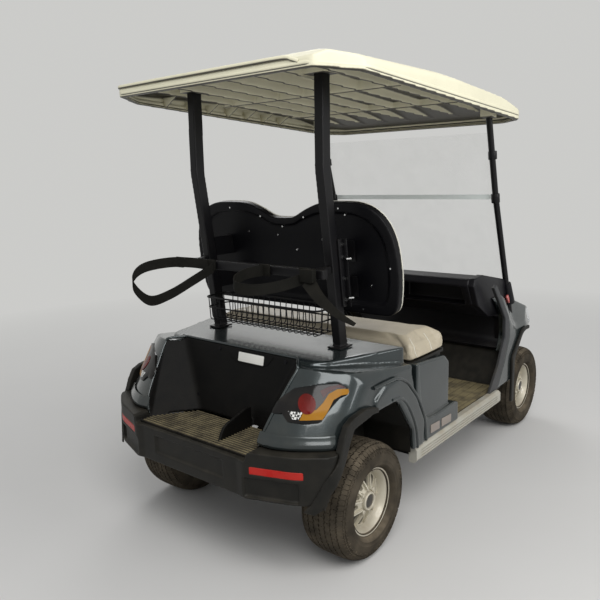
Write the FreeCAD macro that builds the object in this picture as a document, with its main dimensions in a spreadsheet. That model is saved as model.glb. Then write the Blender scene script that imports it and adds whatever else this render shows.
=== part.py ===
import FreeCAD, Part
import math
import os

import Sketcher
from FreeCAD import Placement, Rotation, Vector

# Driving sizes. Columns: alias, value in millimetres or degrees, meaning.
# Each size stands on its neighbours: heights add up from the wheels, places
# along X run forward from the rear axle or back from the front axle, and
# places along Y run out from the centre plane.
SIZES = (
    ("rear_overhang", 430, "rear axle to the back of the bumper"),
    ("front_overhang", 290, "front axle to the front of the nose"),
    ("deck_front_x", 282, "rear axle to the front edge of the deck"),
    ("seat_inset", 8, "deck edge to the rear of the seat cushion"),
    ("seat_depth", 316, "seat cushion fore and aft"),
    ("leg_room", 394, "front of the seat cushion to the dash"),
    ("dash_reach", 650, "rear edge of the dash to the front axle"),
    ("rim_diameter", 268, "outer edge of the rim flange"),
    ("rim_depth", 22, "rim flange over the bore of the barrel"),
    ("rim_width", 160, "rim over its flanges"),
    ("sidewall", 94.5, "tyre from the rim edge to the tread"),
    ("tyre_width", 205, "tyre section width"),
    ("tyre_shoulder", 38, "depth of the shoulder below the tread"),
    ("hub_diameter", 76, "wheel hub"),
    ("axle_pin_diameter", 30, "stub axle inside a wheel hub"),
    ("running_gap", 0.05, "radial clearance of a turning pin"),
    ("seat_gap", 0.3, "clearance between pieces that rest on each other"),
    ("flank_y", 575, "flank of the body"),
    ("rear_tyre_inset", 0.5, "outer face of a rear tyre inside the flank"),
    ("front_tyre_inset", 32.5, "outer face of a front tyre inside the flank"),
    ("kingpin_inset", 65, "kingpin inboard of the front tyre's middle plane"),
    ("kingpin_diameter", 22, "kingpin"),
    ("arm_reach", 110, "steering arm from the kingpin back to the tie rod"),
    ("arm_inset", 66, "steering arm end inboard of the kingpin"),
    ("arch_height", 124, "wishbones apart, lower to upper"),
    ("axle_tube", 64, "rear axle tube"),
    ("spring_gap", 107.5, "inner face of a rear tyre to the middle of a leaf spring"),
    ("spring_length", 540, "leaf spring from eye to eye"),
    ("spring_width", 50, "leaf spring across"),
    ("rail_gap", 72, "middle of a leaf spring to the middle of a frame rail"),
    ("rail_width", 40, "frame rail across"),
    ("rail_depth", 60, "frame rail up and down"),
    ("rail_drop", 77, "floor to the middle height of the rails below it"),
    ("rail_rise_rear", 161.5, "rear axle up to the middle height of the rails"),
    ("rail_rise_front", 111.5, "front axle up to the middle height of the rails"),
    ("floor_height", 345, "top of the floor pan"),
    ("floor_thickness", 10, "floor pan"),
    ("toe_rise", 165, "height of the sloping toe board"),
    ("mat_thickness", 6, "floor mat with its ribs"),
    ("sill_height", 68, "side strip up and down"),
    ("sill_depth", 38, "side strip across"),
    ("sill_proud", 13, "side strip beyond the flank"),
    ("wall", 7, "moulded body wall"),
    ("arch_gap", 143, "top of a tyre to the top of its wheel opening"),
    ("housing_gap", 24.5, "inner face of a rear tyre to its wheel housing"),
    ("deck_rise", 185, "top of the wheel opening to the deck"),
    ("shoulder_drop", 7, "rear corner of the body below the deck"),
    ("shoulder_fall", 70, "shoulder line from the rear corner to the front of the deck"),
    ("tail_inset", 80, "back of the bumper to the rear face of the body"),
    ("tail_lean", 155, "rear face leaning forward up to the deck"),
    ("corner_run", 130, "rear corner of the body fore and aft"),
    ("corner_width", 175, "rear corner of the body across"),
    ("bumper_drop", 100, "top of the wheel opening to the top of the bumper"),
    ("bumper_height", 155, "rear bumper up and down"),
    ("bumper_rise", 26, "corners of the rear bumper above its middle"),
    ("bumper_wall", 22, "rear bumper moulding"),
    ("bumper_proud", 14, "rear bumper beyond the flank"),
    ("flare_proud", 13, "wheel opening flare beyond the flank"),
    ("trim_proud", 26, "trim behind the wheel opening beyond the flank"),
    ("well_sink", 10, "floor of the bag well below the top of the bumper"),
    ("well_front_x", 118, "rear axle back to the front of the bag well at the top"),
    ("well_slope", 72, "front wall of the bag well back towards its floor"),
    ("well_margin", 29, "wheel housing out to the side of the bag well at the top"),
    ("well_floor_inset", 45, "wheel housing in to the side of the bag well floor"),
    ("well_wall", 5, "bag well liner"),
    ("cushion_thickness", 83, "seat cushion"),
    ("seat_sink", 83, "underside of the seat cushion below the deck"),
    ("seat_margin", 15, "seat cushion in from the flank"),
    ("seat_board_thickness", 12, "board under the seat cushion"),
    ("box_margin", 45, "seat box in from the flank"),
    ("box_wall", 10, "seat box panels"),
    ("back_gap", 115, "deck to the lower edge of the seat back"),
    ("back_rise", 452, "seat back along its slope"),
    ("back_dip", 66, "dip between the humps of the seat back"),
    ("back_reach", 204, "bend of the rear post forward to the seat back's lower edge"),
    ("back_lean", 7.5, "lean of the seat back"),
    ("back_shell", 38, "seat back shell"),
    ("back_pad", 66, "seat back cushion"),
    ("back_margin", 23, "seat back in from the flank"),
    ("post_inset", 6, "wheel housing in to the middle of a rear post"),
    ("post_width", 38, "rear post across"),
    ("post_depth", 48, "rear post fore and aft"),
    ("post_foot_x", 110, "rear post where it leaves the deck"),
    ("post_sink", 145, "rear post below the deck"),
    ("post_bend_back", 96, "rear post from the deck back to its bend"),
    ("post_bend_rise", 696, "deck up to the bend of the rear post"),
    ("flange_thickness", 8, "flange at the foot of a rear post"),
    ("front_post_inset", 62, "front post in from the side of the cowl"),
    ("front_post_diameter", 30, "front post tube"),
    ("front_post_foot", 186, "front axle back to the foot of a front post"),
    ("front_post_sink", 147, "foot of a front post below the cowl"),
    ("front_post_bend", 414, "front axle back to the bend of a front post"),
    ("front_post_top", 532, "front axle back to the top of a front post"),
    ("screen_joint_rise", 444, "cowl up to the joint of the two panes"),
    ("screen_thickness", 5, "windscreen pane"),
    ("screen_sink", 4, "lower edge of the windscreen below the cowl"),
    ("screen_top_gap", 62, "roof rim down to the upper edge of the windscreen"),
    ("roof_margin", 25, "roof beyond the flank"),
    ("roof_rear_x", 246, "rear axle back to the rear edge of the roof"),
    ("roof_front", 300, "front axle back to the front edge of the roof"),
    ("roof_rise", 1005, "deck up to the rim of the roof at the rear"),
    ("roof_fall", 88, "rim of the roof from its rear to its front"),
    ("roof_rim", 34, "height of the roof rim"),
    ("roof_crown", 48, "rise of the roof over its rim"),
    ("roof_step", 7, "raised panel on top of the roof"),
    ("roof_wall", 7, "roof moulding"),
    ("cowl_margin", 13, "cowl in from the flank"),
    ("cowl_rise", 99, "deck up to the cowl at the windscreen"),
    ("nose_drop", 244, "cowl down to the top of the nose"),
    ("front_arch_gap", 39.5, "tread of a front tyre to its wheel opening, fore and aft"),
    ("front_bumper_rise", 125, "floor up to the top of the front bumper"),
    ("front_bumper_height", 170, "front bumper up and down"),
    ("dash_rise", 56, "top of the dash over the cowl"),
    ("steering_back", 95, "dash back to the steering wheel's centre"),
    ("steering_y", 275, "steering wheel's centre from the centre plane"),
    ("steering_drop", 60, "steering wheel's centre below the top of the dash"),
    ("steering_diameter", 350, "steering wheel"),
    ("column_slope", 45, "steering column from the level"),
    ("tow_hole_spacing", 120, "towing holes in the front cross member"),
    ("tow_hole_diameter", 13, "towing hole"),
)


class Size(float):
    """A number that remembers the spreadsheet expression it came from."""

    def __new__(cls, value, text=None):
        size = super().__new__(cls, value)
        size.text = text or repr(float(value))
        return size

    def joined(self, sign, other, value, swapped=False):
        """Return the Size of two terms joined by a sign."""
        term = other if isinstance(other, Size) else Size(other)
        first, last = (term, self) if swapped else (self, term)
        return Size(value, f"({first.text} {sign} {last.text})")

    def __add__(self, other):
        return self.joined("+", other, float(self) + float(other))

    def __radd__(self, other):
        return self.joined("+", other, float(other) + float(self), True)

    def __sub__(self, other):
        return self.joined("-", other, float(self) - float(other))

    def __rsub__(self, other):
        return self.joined("-", other, float(other) - float(self), True)

    def __mul__(self, other):
        return self.joined("*", other, float(self) * float(other))

    def __rmul__(self, other):
        return self.joined("*", other, float(other) * float(self), True)

    def __truediv__(self, other):
        return self.joined("/", other, float(self) / float(other))

    def __neg__(self):
        return Size(-float(self), f"(-1 * {self.text})")


doc = FreeCAD.newDocument("two_seat_cart")
sheet = doc.addObject("Spreadsheet::Sheet", "sizes")
for row, (alias, amount, meaning) in enumerate(SIZES, start=1):
    sheet.set(f"A{row}", alias)
    sheet.set(f"B{row}", str(amount))
    sheet.set(f"C{row}", meaning)
    sheet.setAlias(f"B{row}", alias)
doc.recompute()


class Sheet:
    """Gives each driving size by its alias."""

    def __getattr__(self, alias):
        return Size(float(sheet.get(alias)), f"sizes.{alias}")


s = Sheet()
SIDES = (("left", 1), ("right", -1))

# Places along X
seat_rear_x = s.deck_front_x + s.seat_inset
seat_front_x = seat_rear_x + s.seat_depth
dash_rear_x = seat_front_x + s.leg_room
wheelbase = dash_rear_x + s.dash_reach
nose_x = wheelbase + s.front_overhang
origin_shift = (s.rear_overhang - nose_x) / 2
tail_x = s.tail_inset - s.rear_overhang
post_bend_x = s.post_foot_x - s.post_bend_back
toe_x = wheelbase - 400
roof_front_x = wheelbase - s.roof_front

# Heights
tyre_diameter = s.rim_diameter + 2 * s.sidewall
axle_height = tyre_diameter / 2
arch_top = tyre_diameter + s.arch_gap
deck_height = arch_top + s.deck_rise
shoulder_rear = deck_height - s.shoulder_drop
shoulder_front = shoulder_rear - s.shoulder_fall
bumper_top = arch_top - s.bumper_drop
bumper_bottom = bumper_top - s.bumper_height
well_floor = bumper_top - s.well_sink
rail_low = s.floor_height - s.rail_drop
rail_high = axle_height + s.rail_rise_rear
rail_front = axle_height + s.rail_rise_front
skirt = s.floor_height + 5
seat_base = deck_height - s.seat_sink
seat_top = seat_base + s.cushion_thickness
back_bottom = deck_height + s.back_gap
post_foot_z = deck_height - s.post_sink
post_bend_z = deck_height + s.post_bend_rise
roof_rear_z = deck_height + s.roof_rise
roof_front_z = roof_rear_z - s.roof_fall
cowl_height = deck_height + s.cowl_rise
screen_joint_z = cowl_height + s.screen_joint_rise
nose_height = cowl_height - s.nose_drop
front_bumper_top = s.floor_height + s.front_bumper_rise
dash_height = cowl_height + s.dash_rise
steering_z = dash_height - s.steering_drop

# Places along Y
rear_tyre_y = s.flank_y - s.rear_tyre_inset - s.tyre_width / 2
front_tyre_y = s.flank_y - s.front_tyre_inset - s.tyre_width / 2
kingpin_y = front_tyre_y - s.kingpin_inset
arch_inner_y = rear_tyre_y - s.tyre_width / 2 - s.housing_gap
spring_y = rear_tyre_y - s.tyre_width / 2 - s.spring_gap
rail_y = spring_y - s.rail_gap
post_y = arch_inner_y - s.post_inset
sill_outer_y = s.flank_y + s.sill_proud
sill_inner_y = sill_outer_y - s.sill_depth
seat_half_y = s.flank_y - s.seat_margin
box_half_y = s.flank_y - s.box_margin
back_half_y = s.flank_y - s.back_margin
cowl_half = s.flank_y - s.cowl_margin
front_post_y = cowl_half - s.front_post_inset
roof_half = s.flank_y + s.roof_margin

nodes = []


def tie(item, path, size):
    """Tie one property of an object to the cells that its size comes from."""
    item.setExpression(path, size.text if isinstance(size, Size) else repr(float(size)))


def keep(item, label):
    """Name a sub-part and move it from the rear axle to the part's origin."""
    item.Label = label
    placed = dict(item.ExpressionEngine).get(".Placement.Base.x", repr(item.Placement.Base.x))
    item.setExpression("Placement.Base.x", f"{placed} + {origin_shift.text}")
    nodes.append(item)
    return item


def feature(label, shape):
    """Make a sub-part from a finished shape."""
    item = doc.addObject("Part::Feature", label)
    item.Shape = shape
    return keep(item, label)


# Outlines: corners are (across, up) or (across, up, radius). Plane XZ looks
# sideways, XY down and YZ along the vehicle.

TURNS = {"XY": Rotation(), "XZ": Rotation(Vector(1, 0, 0), 90), "YZ": Rotation(Vector(1, 1, 1), 120)}
NORMALS = {"XY": Vector(0, 0, 1), "XZ": Vector(0, 1, 0), "YZ": Vector(1, 0, 0)}
DEPTHS = {"XY": "z", "XZ": "y", "YZ": "x"}


def rounded_corners(corners):
    """Return the points, the arcs' starts and ends, and the arcs' centres by corner."""
    points = [Vector(float(corner[0]), float(corner[1]), 0) for corner in corners]
    starts, ends, centres = list(points), list(points), {}
    for i, corner in enumerate(corners):
        if len(corner) < 3:
            continue
        back = (points[i - 1] - points[i]).normalize()
        on = (points[(i + 1) % len(points)] - points[i]).normalize()
        half = back.getAngle(on) / 2
        starts[i] = points[i] + back * (corner[2] / math.tan(half))
        ends[i] = points[i] + on * (corner[2] / math.tan(half))
        centres[i] = points[i] + (back + on).normalize() * (corner[2] / math.sin(half))
    return points, starts, ends, centres


def draw(sketch, corners):
    """Draw a closed outline in a sketch, its corners and radii tied to the sheet."""
    points, starts, ends, centres = rounded_corners(corners)
    count = len(points)
    lines = [Part.LineSegment(ends[i], starts[(i + 1) % count]) for i in range(count)]
    sketch.addGeometry(lines, False)
    sketch.addGeometry([Part.Point(point) for point in points], True)
    rules, tied = [], []

    def rule(size, *words):
        tied.append((len(rules), size))
        rules.append(Sketcher.Constraint(*words, float(size)))

    for i, corner in enumerate(corners):
        before, vertex = (i - 1) % count, count + i
        rule(corner[0], "DistanceX", -1, 1, vertex, 1)
        rule(corner[1], "DistanceY", -1, 1, vertex, 1)
        if i not in centres:
            rules.append(Sketcher.Constraint("Coincident", before, 2, vertex, 1))
            rules.append(Sketcher.Constraint("Coincident", i, 1, vertex, 1))
            continue
        left_turn = (starts[i] - centres[i]).cross(ends[i] - centres[i]).z > 0
        first, last = (starts[i], ends[i]) if left_turn else (ends[i], starts[i])
        angles = [math.atan2(p.y - centres[i].y, p.x - centres[i].x) for p in (first, last)]
        if angles[1] < angles[0]:
            angles[1] += 2 * math.pi
        circle = Part.Circle(centres[i], Vector(0, 0, 1), float(corner[2]))
        arc = sketch.addGeometry(Part.ArcOfCircle(circle, *angles), False)
        start, end = (1, 2) if left_turn else (2, 1)
        rules.append(Sketcher.Constraint("Tangent", before, 2, arc, start))
        rules.append(Sketcher.Constraint("Tangent", i, 1, arc, end))
        rule(corner[2], "Radius", arc)
        for line in (before, i):
            rules.append(Sketcher.Constraint("PointOnObject", vertex, 1, line))
    sketch.addConstraint(rules)
    for number, size in tied:
        if isinstance(size, Size):
            sketch.setExpression(f"Constraints[{number}]", size.text)


def outline(plane, corners, offset=0):
    """Return the face inside an outline at an offset along the plane's normal."""
    points, starts, ends, centres = rounded_corners(corners)
    count, edges = len(points), []
    for i in range(count):
        if i in centres:
            towards = (points[i] - centres[i]).normalize()
            middle = centres[i] + towards * corners[i][2]
            edges.append(Part.Arc(starts[i], middle, ends[i]).toShape())
        after = starts[(i + 1) % count]
        if (after - ends[i]).Length > 0.01:
            edges.append(Part.LineSegment(ends[i], after).toShape())
    face = Part.Face(Part.Wire(edges))
    face.Placement = Placement(NORMALS[plane] * float(offset), TURNS[plane])
    return face


def both_ways(half):
    """Close a half plan of (x, y...) corners by its mirror image."""
    return list(half) + [(corner[0], -corner[1], *corner[2:]) for corner in reversed(half)]


def both_sides(half):
    """Close a half view of (y, z...) corners by its mirror image."""
    return list(half) + [(-corner[0], *corner[1:]) for corner in reversed(half)]


# Objects tied to the sheet: blocks, round bars, slabs and what joins them


def block(name, low, high):
    """Make a box between two corners."""
    item = doc.addObject("Part::Box", name)
    for side, axis, start, end in zip(("Length", "Width", "Height"), "xyz", low, high):
        tie(item, side, end - start)
        tie(item, f"Placement.Base.{axis}", start)
    return item


def bar(name, axis, start, end, diameter):
    """Make a round bar along an axis, from a start point to an end coordinate."""
    item = doc.addObject("Part::Cylinder", name)
    turns = {"x": Rotation(Vector(0, 1, 0), 90), "y": Rotation(Vector(1, 0, 0), -90), "z": Rotation()}
    item.Placement = Placement(Vector(), turns[axis])
    tie(item, "Radius", diameter / 2)
    tie(item, "Height", end - start["xyz".index(axis)])
    for number, letter in enumerate("xyz"):
        tie(item, f"Placement.Base.{letter}", start[number])
    return item


def slab(name, plane, corners, start, end):
    """Extrude a drawn outline from start to end along the plane's normal."""
    sketch = doc.addObject("Sketcher::SketchObject", f"{name}_outline")
    sketch.Placement = Placement(Vector(), TURNS[plane])
    draw(sketch, corners)
    tie(sketch, f"Placement.Base.{DEPTHS[plane]}", start)
    item = doc.addObject("Part::Extrusion", name)
    item.Base = sketch
    item.DirMode = "Custom"
    item.Dir = NORMALS[plane]
    item.Solid = True
    tie(item, "LengthFwd", end - start)
    return item


def joined(name, items):
    """Fuse objects into one."""
    item = doc.addObject("Part::MultiFuse", name)
    item.Shapes = list(items)
    item.Refine = True
    return item


def without(name, base, *tools):
    """Cut tools out of an object, one after another."""
    for number, tool in enumerate(tools):
        item = doc.addObject("Part::Cut", name if number == len(tools) - 1 else f"{name}_cut")
        item.Base, item.Tool = base, tool
        item.Refine = True
        base = item
    return base


def flipped(item):
    """Mirror an object to the other side."""
    twin = doc.addObject("Part::Mirroring", f"{item.Name}_twin")
    twin.Source, twin.Normal = item, Vector(0, 1, 0)
    return twin


def both(name, item):
    """Make a left and a right copy that don't touch, as one sub-part."""
    twins = doc.addObject("Part::Compound", name)
    twins.Links = [item, flipped(item)]
    return keep(twins, name)


# Sketch-based bodies


def sketch_in(body, role, corners, name="Profile"):
    """Draw an outline on one of a body's own planes."""
    sketch = body.newObject("Sketcher::SketchObject", name)
    plane = next(item for item in body.Origin.OriginFeatures if item.Role == role)
    sketch.AttachmentSupport = [(plane, "")]
    sketch.MapMode = "FlatFace"
    draw(sketch, corners)
    return sketch


def revolved_body(name, corners):
    """Turn a profile of (radius, y) corners about the Y axis."""
    body = doc.addObject("PartDesign::Body", name)
    turned = body.newObject("PartDesign::Revolution", "Turned")
    turned.Profile = sketch_in(body, "XY_Plane", corners)
    turned.ReferenceAxis = (turned.Profile[0], ["V_Axis"])
    turned.Angle = 360
    body.Tip = turned
    return body


def pad_in(body, role, corners, offset, length, name):
    """Pad an outline from an offset plane of a body."""
    pad = body.newObject("PartDesign::Pad", name)
    pad.Profile = sketch_in(body, role, corners, f"{name}Profile")
    tie(pad.Profile[0], "AttachmentOffset.Base.z", offset)
    tie(pad, "Length", length)
    return pad


# Shapes for the moulded shells


def prism(plane, corners, start, end, inset=0):
    """Extrude an outline, set in all round by a wall, between two depths."""
    face = outline(plane, corners, start)
    if inset:
        face = face.makeOffset2D(-inset)
    return face.extrude(NORMALS[plane] * float(end - start))


def meet(views, inset=0):
    """Return what several prisms have in common, each set in by a wall."""
    solids = [prism(*view, inset=inset) for view in views]
    common = solids[0]
    for solid in solids[1:]:
        common = common.common(solid)
    return common


def box(low, high):
    """Return the box between two corners."""
    low, high = Vector(*low), Vector(*high)
    size = high - low
    return Part.makeBox(size.x, size.y, size.z, low)


def swept(points, bend, width, depth=None):
    """Sweep a round bar, or a flat one of width and depth, along runs joined by bends."""
    points = [Vector(*point) for point in points]
    edges, start = [], points[0]
    for before, corner, after in zip(points, points[1:], points[2:]):
        back, on = (before - corner).normalize(), (after - corner).normalize()
        half = back.getAngle(on) / 2
        leave, arrive = (corner + way * (bend / math.tan(half)) for way in (back, on))
        middle = corner + (back + on).normalize() * (bend / math.sin(half) - bend)
        edges += [Part.makeLine(start, leave), Part.Arc(leave, middle, arrive).toShape()]
        start = arrive
    path = Part.Wire(edges + [Part.makeLine(start, points[-1])])
    along = (points[1] - points[0]).normalize()
    if depth is None:
        return path.makePipeShell([Part.Wire(Part.makeCircle(width / 2, points[0], along))], True, False)
    across = Vector(0, 1, 0)
    up = along.cross(across)
    ring = [points[0] + across * (a * width / 2) + up * (b * depth / 2)
            for a, b in ((-1, -1), (1, -1), (1, 1), (-1, 1), (-1, -1))]
    return path.makePipeShell([Part.makePolygon(ring)], True, False)


def mirrored(shape):
    """Return the shape of the other side."""
    return shape.mirror(Vector(0, 0, 0), Vector(0, 1, 0))


def pair(shape):
    """Return a left and a right copy that don't touch."""
    return Part.makeCompound([shape, mirrored(shape)])


def fused(shapes):
    """Join solids into one."""
    shapes = list(shapes)
    return shapes[0].multiFuse(shapes[1:]).removeSplitter()


def largest(shape):
    """Return the biggest solid of a shape, dropping slivers that a cut leaves."""
    return max(shape.Solids, key=lambda solid: solid.Volume)


def softened(shape, radius, chosen):
    """Round the edges that a test chooses."""
    edges = [edge for edge in shape.Edges if chosen(edge)]
    return shape.makeFillet(radius, edges) if edges else shape


def cosine(size):
    """Return the cosine of an angle in degrees."""
    return Size(math.cos(math.radians(size)), f"cos({size.text} * 1 deg)")


def sine(size):
    """Return the sine of an angle in degrees."""
    return Size(math.sin(math.radians(size)), f"sin({size.text} * 1 deg)")


def tangent(size):
    """Return the tangent of an angle in degrees."""
    return Size(math.tan(math.radians(size)), f"tan({size.text} * 1 deg)")


# Wheels: a tyre and a rim each, built on the hub axis and moved to the hub


def tyre_corners():
    """Return the tyre section as (radius, y) corners."""
    radius, half, shoulder = tyre_diameter / 2, s.tyre_width / 2, s.tyre_shoulder
    edge, flange = s.rim_diameter / 2, s.rim_width / 2
    bead, bulge = edge - 12, edge + 20
    return (
        (bead, flange - 12), (bead, 12 - flange), (edge, 11 - flange), (edge, -flange),
        (bulge, -half), (radius - shoulder, -half), (radius - 8, 22 - half), (radius, 44 - half),
        (radius, half - 44), (radius - 8, half - 22), (radius - shoulder, half), (bulge, half),
        (edge, flange), (edge, flange - 11),
    )


def rim_corners():
    """Return the rim section: flanges, barrel, dished disc and hub."""
    edge, half, hub = s.rim_diameter / 2, s.rim_width / 2, s.hub_diameter / 2
    barrel, seat = edge - s.rim_depth, edge - 12
    bore = s.axle_pin_diameter / 2 + s.running_gap
    return (
        (barrel, -half), (edge, -half), (edge, 11 - half), (seat, 12 - half),
        (seat, half - 12), (edge, half - 11), (edge, half), (barrel + 6, half),
        (barrel - 4, half - 28), (hub + 8, half - 40), (hub, half - 22), (bore, half - 22),
        (bore, half - 92), (hub, half - 92), (hub, half - 58),
        (barrel - 6, half - 44), (barrel, half - 60),
    )


def add_windows(body, name, start, end, narrow, wide):
    """Cut five openings round a rim's disc, between two radii."""
    pocket = body.newObject("PartDesign::Pocket", name)
    pocket.Profile = sketch_in(body, "XZ_Plane", (
        (start, -narrow), (end, -wide), (end, wide), (start, narrow)), f"{name}Profile")
    pocket.Type = 1
    pocket.Midplane = True
    pattern = body.newObject("PartDesign::PolarPattern", f"{name}Pattern")
    pattern.Originals = [pocket]
    pattern.Axis = (pocket.Profile[0], ["N_Axis"])
    pattern.Angle = 360
    pattern.Occurrences = 5
    body.Tip = pattern


def make_wheels():
    """Make four tyres and four rims."""
    inner = s.hub_diameter / 2 + 14
    outer = s.rim_diameter / 2 - s.rim_depth - 12
    for end, hub_x, hub_y in (("rear", Size(0), rear_tyre_y), ("front", wheelbase, front_tyre_y)):
        for side, sign in SIDES:
            tyre = revolved_body(f"tyre_{end}_{side}", tyre_corners())
            rim = revolved_body(f"rim_{end}_{side}", rim_corners())
            add_windows(rim, "Window", inner, outer, inner * 0.2, outer * 0.2)
            for body in (tyre, rim):
                body.Placement = Placement(Vector(), Rotation(Vector(1, 0, 0), 0 if sign > 0 else 180))
                for axis, size in zip("xyz", (hub_x, sign * hub_y, axle_height)):
                    tie(body, f"Placement.Base.{axis}", size)
                keep(body, body.Name)


# Running gear


def post_x_at(height):
    """Return the X of a rear post's axis at a height on its lower run."""
    return s.post_foot_x - (height - deck_height) * (s.post_bend_back / s.post_bend_rise)


def make_frame():
    """Make the ladder frame with its cross members and post supports."""
    half, bend = s.rail_depth / 2, 12
    rear_x, front_x, knee = tail_x - 30, nose_x - 55, wheelbase - 330
    rail = slab("frame_rail", "XZ", (
        (rear_x, rail_high + half), (150 + bend, rail_high + half), (300 + bend, rail_low + half),
        (knee - 8, rail_low + half), (knee + 82, rail_front + half), (front_x, rail_front + half),
        (front_x, rail_front - half), (knee + 98, rail_front - half), (knee + 8, rail_low - half),
        (300 - bend, rail_low - half), (150 - bend, rail_high - half), (rear_x, rail_high - half),
    ), rail_y - s.rail_width / 2, rail_y + s.rail_width / 2)
    sided = [rail]
    # Post supports
    foot_x, inner, seat = post_x_at(post_foot_z), rail_y + 20, post_foot_z - s.seat_gap
    outer = post_y + s.post_width / 2 + 2
    sided.append(block("post_upright", (foot_x - 24, inner, rail_high - half), (foot_x + 24, inner + 40, seat)))
    sided.append(block("post_shelf", (foot_x - 30, inner, seat - 10), (foot_x + 30, outer, seat)))
    # Spring hangers
    plate_y = spring_y - s.spring_width / 2
    for name, eye_x, low, high in (("front", s.spring_length / 2, rail_low + 20, rail_low + 80),
                                   ("rear", -s.spring_length / 2, axle_height + 80, rail_high)):
        sided.append(block(f"hanger_{name}", (eye_x - 20, rail_y + 10, low), (eye_x + 20, plate_y, high)))
    # Cross members: rear x, front x, half length, low z, high z
    under_floor = s.floor_height - s.floor_thickness
    members = (
        (rear_x, rear_x + 30, Size(300), rail_high - 30, rail_high + 30),
        (Size(80), Size(140), rail_y, rail_high - 20, rail_high + 20),
        (s.deck_front_x + 48, s.deck_front_x + 88, rail_y, rail_low - 20, rail_low + 20),
        (seat_front_x + 34, seat_front_x + 74, rail_y, rail_low - 20, rail_low + 20),
        (dash_rear_x + 90, dash_rear_x + 130, rail_y, rail_low - 20, rail_low + 20),
        (wheelbase - s.arm_reach - 25, wheelbase - s.arm_reach + 25, rail_y, rail_front - 30, rail_front),
        (front_x - 40, front_x, rail_y, rail_front - 30, rail_front + 30),
        (s.deck_front_x + 43, s.deck_front_x + 73, sill_inner_y, under_floor - 40, under_floor),
        (seat_front_x + 39, seat_front_x + 69, sill_inner_y, under_floor - 40, under_floor),
        (dash_rear_x + 95, dash_rear_x + 125, sill_inner_y, under_floor - 40, under_floor),
    )
    bars = [block("cross_member", (back, -across, low), (ahead, across, high))
            for back, ahead, across, low, high in members]
    ladder = joined("ladder", bars + sided + [flipped(item) for item in sided])
    holes = [bar("tow_hole", "x", (front_x - 60, side * s.tow_hole_spacing / 2, rail_front - 15),
                 front_x + 20, s.tow_hole_diameter) for side in (1, -1)]
    keep(without("chassis_frame", ladder, *holes), "chassis_frame")


def make_rear_axle():
    """Make the driven axle, the motor block and the leaf springs."""
    pin, tube = s.axle_pin_diameter / 2, s.axle_tube / 2
    pin_end = rear_tyre_y + s.rim_width / 2 - 26
    drum = s.rim_diameter / 2 - s.rim_depth - 17
    drum_outer = rear_tyre_y + s.rim_width / 2 - 102
    drum_inner = drum_outer - 56
    half = ((0, pin_end), (pin, pin_end), (pin, drum_outer), (drum, drum_outer), (drum, drum_inner),
            (tube, drum_inner), (tube, 92), (72, 75), (100, 48))
    turned = revolved_body("axle_turned", both_sides_of_radius(half))
    tie(turned, "Placement.Base.z", axle_height)
    seat = block("spring_seat", (-40, spring_y - 30, axle_height), (40, spring_y + 30, axle_height + 44))
    keep(joined("rear_axle", [turned, seat, flipped(seat)]), "rear_axle")
    motor = bar("motor_case", "y", (172, -150, axle_height + 26), 150, 160)
    room = bar("motor_room", "y", (0, -160, axle_height), 160, 200 + 2 * s.seat_gap)
    keep(without("drive_motor", motor, room), "drive_motor")
    # Three leaves, the lowest the shortest
    reach_full, sag, leaf = s.spring_length / 2, 34, 9
    low_y, high_y = spring_y - s.spring_width / 2, spring_y + s.spring_width / 2
    parts = []
    for number, share in enumerate((1, 0.75, 0.5)):
        reach, lift, slope = reach_full * share, sag * share * share, sag * share / reach_full
        # The bend of radius 900 lifts a leaf's middle by half the radius times the slope squared
        bottom = axle_height + 44 + (2 - number) * (leaf - 0.5) - 450 * slope * slope
        parts.append(slab(f"leaf_{number + 1}", "XZ", (
            (-reach, bottom + lift), (Size(0), bottom, 900), (reach, bottom + lift),
            (reach, bottom + lift + leaf), (Size(0), bottom + leaf, 900 - leaf), (-reach, bottom + lift + leaf),
        ), low_y, high_y))
    for place in (-reach_full, reach_full):
        parts.append(bar("spring_eye", "y", (place, low_y, axle_height + 96), high_y, 26))
    both("leaf_springs", joined("leaf_spring", parts))


def both_sides_of_radius(half):
    """Close half a turned profile of (radius, y) corners, both ends on the axis."""
    return [(radius, -y) for radius, y in half] + list(reversed(half))


def make_front_suspension():
    """Make the wishbones with their kingpins."""
    hub_x, half, pivot = wheelbase, s.arch_height / 2, s.arm_reach - 25
    inner_y = rail_y + s.rail_width / 2 - 30
    parts = [bar("kingpin", "z", (hub_x, kingpin_y, axle_height - half), axle_height + half,
                 s.kingpin_diameter)]
    for name, height in (("lower", axle_height - half), ("upper", axle_height + half)):
        parts.append(slab(f"{name}_wishbone", "XY", (
            (hub_x - pivot - 10, inner_y - 8), (hub_x - pivot + 12, inner_y - 8), (hub_x - 9, kingpin_y - 42),
            (hub_x + 9, kingpin_y - 42), (hub_x + pivot - 12, inner_y - 8), (hub_x + pivot + 10, inner_y - 8),
            (hub_x + 14, kingpin_y), (hub_x - 14, kingpin_y),
        ), height - 9, height + 9))
        parts.append(bar(f"{name}_boss", "z", (hub_x, kingpin_y, height - 12), height + 12, 40))
    parts.append(block("wishbone_mount", (hub_x - s.arm_reach + 14, inner_y - 30, axle_height - half - 14),
                       (hub_x + s.arm_reach - 14, inner_y, rail_front - s.rail_depth / 2)))
    both("front_suspension", joined("wishbones", parts))


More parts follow.
